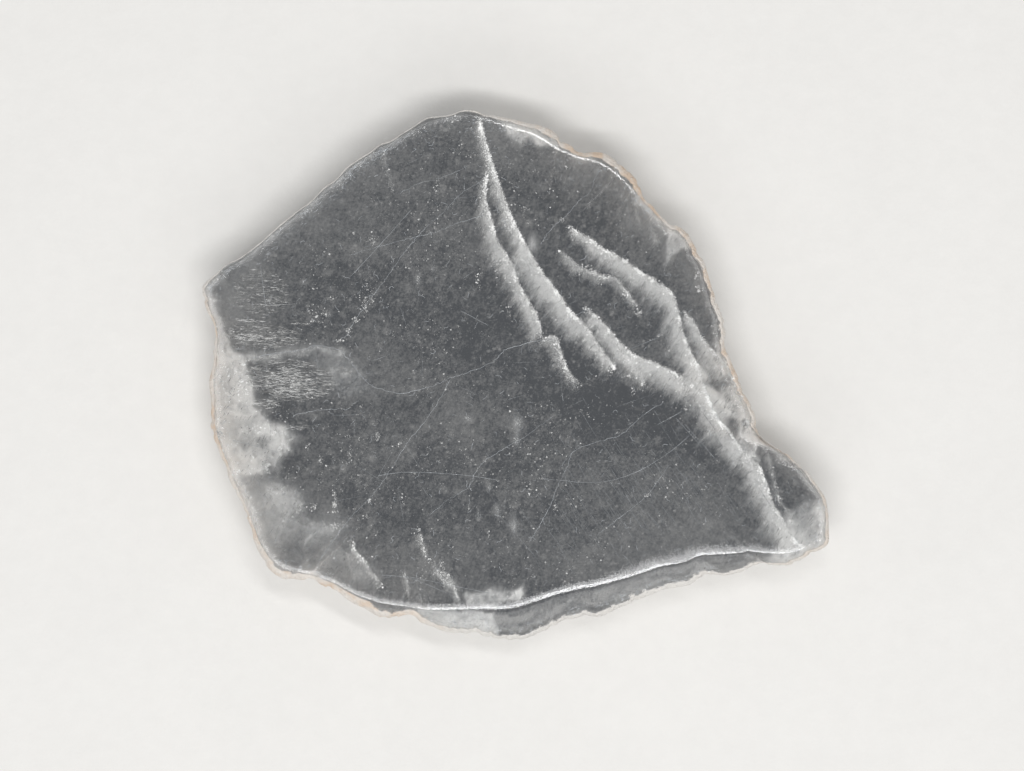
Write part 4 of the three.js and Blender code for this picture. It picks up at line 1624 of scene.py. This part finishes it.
def effect_group(name, inputs, build):
    """A node group with float inputs (name and default) and one Value output."""
    if name in bpy.data.node_groups:
        return bpy.data.node_groups[name]
    group = bpy.data.node_groups.new(name, "ShaderNodeTree")
    for label, default in inputs.items():
        socket = group.interface.new_socket(label, in_out="INPUT", socket_type="NodeSocketFloat")
        socket.default_value = default
    group.interface.new_socket("Value", in_out="OUTPUT", socket_type="NodeSocketFloat")
    source = group.nodes.new("NodeGroupInput")
    target = group.nodes.new("NodeGroupOutput")
    group.links.new(build(group, source), target.inputs["Value"])
    return group


def mottle_effect():
    """Soft lumps with finer ones on them."""

    def build(group, source):
        spot = places(group)
        lumps = noise(group, spot, source.outputs["Scale"], 3, 0.6)
        finer = maths(group, "MULTIPLY", source.outputs["Scale"], 7)
        grain = noise(group, spot, finer, 3, 0.6)
        both = maths(group, "MULTIPLY", maths(group, "ADD", lumps, grain), 0.5)
        return spread(group, both, 0.36, 0.64)

    return effect_group("mottle", {"Scale": 200.0}, build)


def strand_effect():
    """Upright fibres, in bundles."""

    def build(group, source):
        fibres = noise(group, places(group, (1, 1, 20)), source.outputs["Fibres"], 3, 0.65)
        bundles = noise(group, places(group, (1, 1, 8)), source.outputs["Bundles"], 2, 0.5)
        fibres = maths(group, "MULTIPLY", fibres, 0.65)
        bundles = maths(group, "MULTIPLY", bundles, 0.35)
        return spread(group, maths(group, "ADD", fibres, bundles), 0.35, 0.65)

    return effect_group("strands", {"Fibres": 2600.0, "Bundles": 600.0}, build)


def blotch_effect():
    """Ragged patches, for stains."""

    def build(group, source):
        ragged = noise(group, places(group), source.outputs["Scale"], 5, 0.7)
        share = spread(group, ragged, 0.3, 0.6, 0.45, 1.3)
        return maths(group, "MULTIPLY", share, source.outputs["Amount"])

    return effect_group("blotches", {"Amount": 1.0, "Scale": 900.0}, build)


def effect(tree, group, **inputs):
    """The outcome of a node group, whose inputs are given by name."""
    made = node(tree, "Group", {"node_tree": group})
    for name, value in inputs.items():
        feed(tree, made.inputs[name], value)
    return made.outputs["Value"]


def flecks(tree, scale):
    """Round soft flecks: a few of the cells of a grid each hold one."""
    cells = node(tree, "TexVoronoi", None, Vector=places(tree), Scale=scale)
    chance = node(tree, "SeparateColor", None, Color=cells.outputs["Color"])
    size = spread(tree, chance.outputs[0], 0.55, 1, 0, 0.42)
    near = maths(tree, "SUBTRACT", size, cells.outputs["Distance"])
    return spread(tree, near, 0, 0.22)


EVEN_START = -0.76  # brings the sum of the stone's uneven layers to about 0


def finish_off(tree, inside=None, **inputs):
    """The surface that a material ends in, and what lies inside it."""
    skin = node(tree, "BsdfPrincipled", None, **inputs)
    node(tree, "OutputMaterial", None, Surface=skin.outputs[0], Volume=inside)


def stone_material(finish):
    """Clear smoky stone: glass that darkens with depth, milky and frosted where it is broken, with
    painted sheen on its rim and over the silky streaks.
    """
    material, tree = new_tree("ulexite_stone")
    broken = attribute(tree, "broken")
    strands = effect(tree, strand_effect())
    strokes = noise(tree, places(tree, (4, 1, 1), STROKE_TURN), 3000, 3, 0.6)
    # painted sheen: fine streaks along STREAK_LEAN that lighten the base colour where the silky
    # streaks lie
    silk = noise(tree, places(tree, (7, 1, 1), STREAK_LEAN), 5200, 3, 0.65)
    layers = (
        (effect(tree, mottle_effect(), Scale=230.0), 0.38),
        (effect(tree, mottle_effect(), Scale=900.0), 0.46),
        (spread(tree, noise(tree, places(tree), 3300, 2, 0.6), 0.36, 0.64), 0.28),
        (spread(tree, strokes, 0.36, 0.64), 0.2),
        (flecks(tree, 560), 0.34),
        (flecks(tree, 1500), 0.5),
    )
    uneven = EVEN_START
    for layer, amount in layers:
        uneven = maths(tree, "ADD", uneven, maths(tree, "MULTIPLY", layer, amount))
    milk = attribute(tree, "milk")
    room = maths(tree, "SUBTRACT", 1.1, maths(tree, "MULTIPLY", milk, 0.8))
    milk = maths(tree, "ADD", milk, maths(tree, "MULTIPLY", uneven, room))
    # the painted silky sheen is added to the milk
    silk = maths(tree, "MULTIPLY", spread(tree, silk, 0.48, 0.66), attribute(tree, "silk"))
    milk = maths(tree, "ADD", milk, maths(tree, "MULTIPLY", silk, 1.1))
    tint = mixed(tree, milk, finish.clear_colour, finish.milk_colour)
    stain = effect(tree, blotch_effect(), Amount=attribute(tree, "stain"))
    tint = mixed(tree, stain, tint, finish.stain_colour)
    grooves = maths(tree, "MULTIPLY", strands, broken)
    rubbed = noise(tree, places(tree, (30, 1, 1), POLISH_LEAN), 5000, 2)
    grain = noise(tree, places(tree), 4000, 3, 0.7)
    fine = maths(tree, "MULTIPLY", maths(tree, "ADD", rubbed, grain), 0.04)
    bump = node(tree, "Bump", None, Height=maths(tree, "ADD", grooves, fine), Distance=0.00012)
    rough = maths(tree, "ADD", maths(tree, "MULTIPLY", broken, 0.4), 0.05)
    inside = node(tree, "VolumeAbsorption", None, Color=finish.depth_tint, Density=finish.density)
    finish_off(
        tree, inside.outputs[0], Base_Color=tint, Roughness=rough, IOR=finish.index,
        Transmission_Weight=finish.clearness, Normal=bump.outputs[0],
    )
    return material


def white_material(name, finish, stained=False, colour=None):
    """White fibre, a little uneven, as bright as each point's tone."""
    material, tree = new_tree(name)
    mottle = spread(tree, effect(tree, mottle_effect(), Scale=700.0), 0, 1, 0.85, 1)
    tone = maths(tree, "MULTIPLY", attribute(tree, "tone"), mottle)
    tint = mixed(tree, tone, (0, 0, 0), colour or finish.fibre_colour)
    if stained:
        stain = effect(tree, blotch_effect(), Amount=attribute(tree, "stain"), Scale=500.0)
        tint = mixed(tree, stain, tint, finish.stain_colour)
    bump = node(tree, "Bump", None, Height=mottle, Distance=0.00004)
    finish_off(tree, Base_Color=tint, Roughness=0.55, Normal=bump.outputs[0])
    return material


def crust_material(finish):
    """Chalky crust with the fibres' ends and grooves, stained tan in blotches."""
    material, tree = new_tree("ulexite_crust")
    strands = effect(tree, strand_effect(), Fibres=3600.0, Bundles=900.0)
    mottle = effect(tree, mottle_effect(), Scale=350.0)
    paler = [min(1, 1.18 * c) for c in finish.crust_colour]
    tint = mixed(tree, strands, finish.crust_colour, paler)
    tint = mixed(tree, maths(tree, "MULTIPLY", mottle, 0.25), tint, finish.dirt_colour)
    stain = effect(tree, blotch_effect(), Amount=attribute(tree, "stain"))
    tint = mixed(tree, stain, tint, finish.stain_colour)
    height = maths(tree, "ADD", strands, maths(tree, "MULTIPLY", mottle, 0.4))
    bump = node(tree, "Bump", None, Height=height, Distance=0.00015)
    finish_off(tree, Base_Color=tint, Roughness=0.5, Normal=bump.outputs[0])
    return material


def floor_material(stage):
    """A plain pale board with the faintest unevenness."""
    material, tree = new_tree("floor")
    mottle = effect(tree, mottle_effect(), Scale=60.0)
    darker = [0.97 * c for c in stage.floor_colour]
    tint = mixed(tree, mottle, darker, stage.floor_colour)
    bump = node(tree, "Bump", None, Height=mottle, Distance=0.00005)
    finish_off(
        tree, Base_Color=tint, Roughness=0.8, Normal=bump.outputs[0], Specular_IOR_Level=0.2,
    )
    return material


# ---------------------------------------------------------------------------------------
# Operators


class ULEXITE_OT_body(bpy.types.Operator):
    """Builds the slab's body, with its polished face, rim, flanks and base"""

    bl_idname = "ulexite.body"
    bl_label = "Slab body"

    def execute(self, context):
        scene = context.scene
        build_body(scene.ulexite_shape, stone_material(scene.ulexite_finish))
        return {"FINISHED"}


class ULEXITE_OT_crust(bpy.types.Operator):
    """Builds the chalky crust on the slab's natural edge"""

    bl_idname = "ulexite.crust"
    bl_label = "Edge crust"

    def execute(self, context):
        scene = context.scene
        build_crust(scene.ulexite_shape, crust_material(scene.ulexite_finish))
        return {"FINISHED"}


class ULEXITE_OT_veils(bpy.types.Operator):
    """Builds the milky veils below the face"""

    bl_idname = "ulexite.veils"
    bl_label = "Milky veils"

    def execute(self, context):
        scene = context.scene
        material = white_material("ulexite_milk", scene.ulexite_finish, stained=True)
        build_veils(Form(scene.ulexite_shape), material)
        return {"FINISHED"}


class ULEXITE_OT_fibres(bpy.types.Operator):
    """Builds the white fibres: the veins' needles, the silky streaks and the wisps"""

    bl_idname = "ulexite.fibres"
    bl_label = "Fibres"

    def execute(self, context):
        scene = context.scene
        form = Form(scene.ulexite_shape)
        amounts = scene.ulexite_amounts
        material = white_material("ulexite_fibre", scene.ulexite_finish)
        veins = list(enumerate(VEINS.values()))
        parts = [vein_needles(form, vein, i, amounts.needles) for i, vein in veins]
        parts += [vein_fur(form, vein, i) for i, vein in veins]
        scattered("vein_fibres", joined(*parts), material)
        scattered("satin_streaks", satin(form), material)
        scattered("wisps", wisps(form, amounts), material)
        return {"FINISHED"}


class ULEXITE_OT_grains(bpy.types.Operator):
    """Builds the bright grains: on the veins, over the milky stone and in specks and dots"""

    bl_idname = "ulexite.grains"
    bl_label = "Grains"

    def execute(self, context):
        scene = context.scene
        form = Form(scene.ulexite_shape)
        amounts = scene.ulexite_amounts
        material = white_material("ulexite_grain", scene.ulexite_finish)
        parts = [vein_sugar(form, v, i, amounts.sugar) for i, v in enumerate(VEINS.values())]
        scattered("vein_grains", joined(*parts), material)
        scattered("frost", frost(form, amounts), material)
        scattered("dots", dots(form, amounts), material)
        scattered("specks", speck_grains(form), material)
        return {"FINISHED"}


class ULEXITE_OT_lines(bpy.types.Operator):
    """Builds the thin lines: healed cracks, scratches, rubbed strokes and curled hairs"""

    bl_idname = "ulexite.lines"
    bl_label = "Cracks and scratches"

    def execute(self, context):
        scene = context.scene
        form = Form(scene.ulexite_shape)
        finish = scene.ulexite_finish
        material = white_material("ulexite_line", finish, colour=finish.line_colour)
        scattered("cracks", threads(form, CRACKS, "cracks", 0.055, 0.05), material)
        scattered("scratches", threads(form, SCRATCHES, "scratches", 0.03, 0.01), material)
        scattered("rim_strokes", rim_strokes(form, scene.ulexite_amounts), material)
        scattered("curls", curls(form, scene.ulexite_amounts), material)
        scattered("polish_lines", polish_lines(form, scene.ulexite_amounts), material)
        return {"FINISHED"}


class ULEXITE_OT_stage(bpy.types.Operator):
    """Sets up the floor, the lights and the camera"""

    bl_idname = "ulexite.stage"
    bl_label = "Stage"

    def execute(self, context):
        stage = context.scene.ulexite_stage
        build_floor(stage)
        build_lights(stage)
        build_camera()
        return {"FINISHED"}


def build_floor(stage):
    """A square of floor just under the slab's base."""
    mesh = bpy.data.meshes.new("floor")
    sides = ((-1, -1), (1, -1), (1, 1), (-1, 1))
    corners = [(x * FLOOR_REACH * MM, y * FLOOR_REACH * MM, -FLOOR_GAP * MM) for x, y in sides]
    mesh.from_pydata(corners, [], [(0, 1, 2, 3)])
    mesh.materials.append(floor_material(stage))
    floor = bpy.data.objects.new("floor", mesh)
    bpy.context.scene.collection.objects.link(floor)


def area_light(name, place, size, power):
    """A soft light aimed at the slab, whose long side lies level and across its aim."""
    data = bpy.data.lights.new(name, "AREA")
    data.shape = "RECTANGLE"
    data.size, data.size_y = size
    data.energy = power
    lamp = bpy.data.objects.new(name, data)
    lamp.location = place
    lamp.rotation_euler = (-Vector(place)).to_track_quat("-Z", "Y").to_euler()
    bpy.context.scene.collection.objects.link(lamp)


def build_lights(stage):
    """An even sky and LIGHTS."""
    scene = bpy.context.scene
    world = bpy.data.worlds.new("studio")
    world.use_nodes = True
    sky = world.node_tree.nodes["Background"]
    sky.inputs["Color"].default_value = (1, 1, 1, 1)
    sky.inputs["Strength"].default_value = stage.sky
    scene.world = world
    for name, (place, size) in LIGHTS.items():
        area_light(name, place, size, getattr(stage, name))
    scene.view_settings.view_transform = "Standard"


def build_camera():
    """A camera that looks straight down at the polished face."""
    scene = bpy.context.scene
    data = bpy.data.cameras.new("camera")
    data.sensor_width = SENSOR
    data.lens = SENSOR * CAMERA_HEIGHT / FRAME_WIDTH
    data.clip_start = 0.01
    camera = bpy.data.objects.new("camera", data)
    x, y = FRAME_CENTRE
    camera.location = (x * MM, y * MM, (FACE_Z + CAMERA_HEIGHT) * MM)
    scene.collection.objects.link(camera)
    scene.camera = camera


class ULEXITE_PT_panel(bpy.types.Panel):
    """Lists the steps that build the slab and its stage"""

    bl_idname = "ULEXITE_PT_panel"
    bl_label = "Ulexite slab"
    bl_space_type = "VIEW_3D"
    bl_region_type = "UI"
    bl_category = "Ulexite"

    def draw(self, context):
        for step in STEPS:
            self.layout.operator(step.bl_idname)


STEPS = (
    ULEXITE_OT_body, ULEXITE_OT_crust, ULEXITE_OT_veils, ULEXITE_OT_fibres, ULEXITE_OT_grains,
    ULEXITE_OT_lines, ULEXITE_OT_stage,
)
SETTINGS = {
    "ulexite_shape": SlabShape, "ulexite_finish": StoneFinish, "ulexite_amounts": FibreAmounts,
    "ulexite_stage": StageSetup,
}


def register():
    for group in SETTINGS.values():
        bpy.utils.register_class(group)
    for name, group in SETTINGS.items():
        setattr(bpy.types.Scene, name, PointerProperty(type=group))
    for cls in (*STEPS, ULEXITE_PT_panel):
        bpy.utils.register_class(cls)


def unregister():
    for cls in reversed((*STEPS, ULEXITE_PT_panel)):
        bpy.utils.unregister_class(cls)
    for name, group in reversed(SETTINGS.items()):
        delattr(bpy.types.Scene, name)
        bpy.utils.unregister_class(group)


def main():
    register()
    bpy.ops.ulexite.body()
    bpy.ops.ulexite.crust()
    bpy.ops.ulexite.veils()
    bpy.ops.ulexite.fibres()
    bpy.ops.ulexite.grains()
    bpy.ops.ulexite.lines()
    bpy.ops.ulexite.stage()


if __name__ == "__main__":
    main()
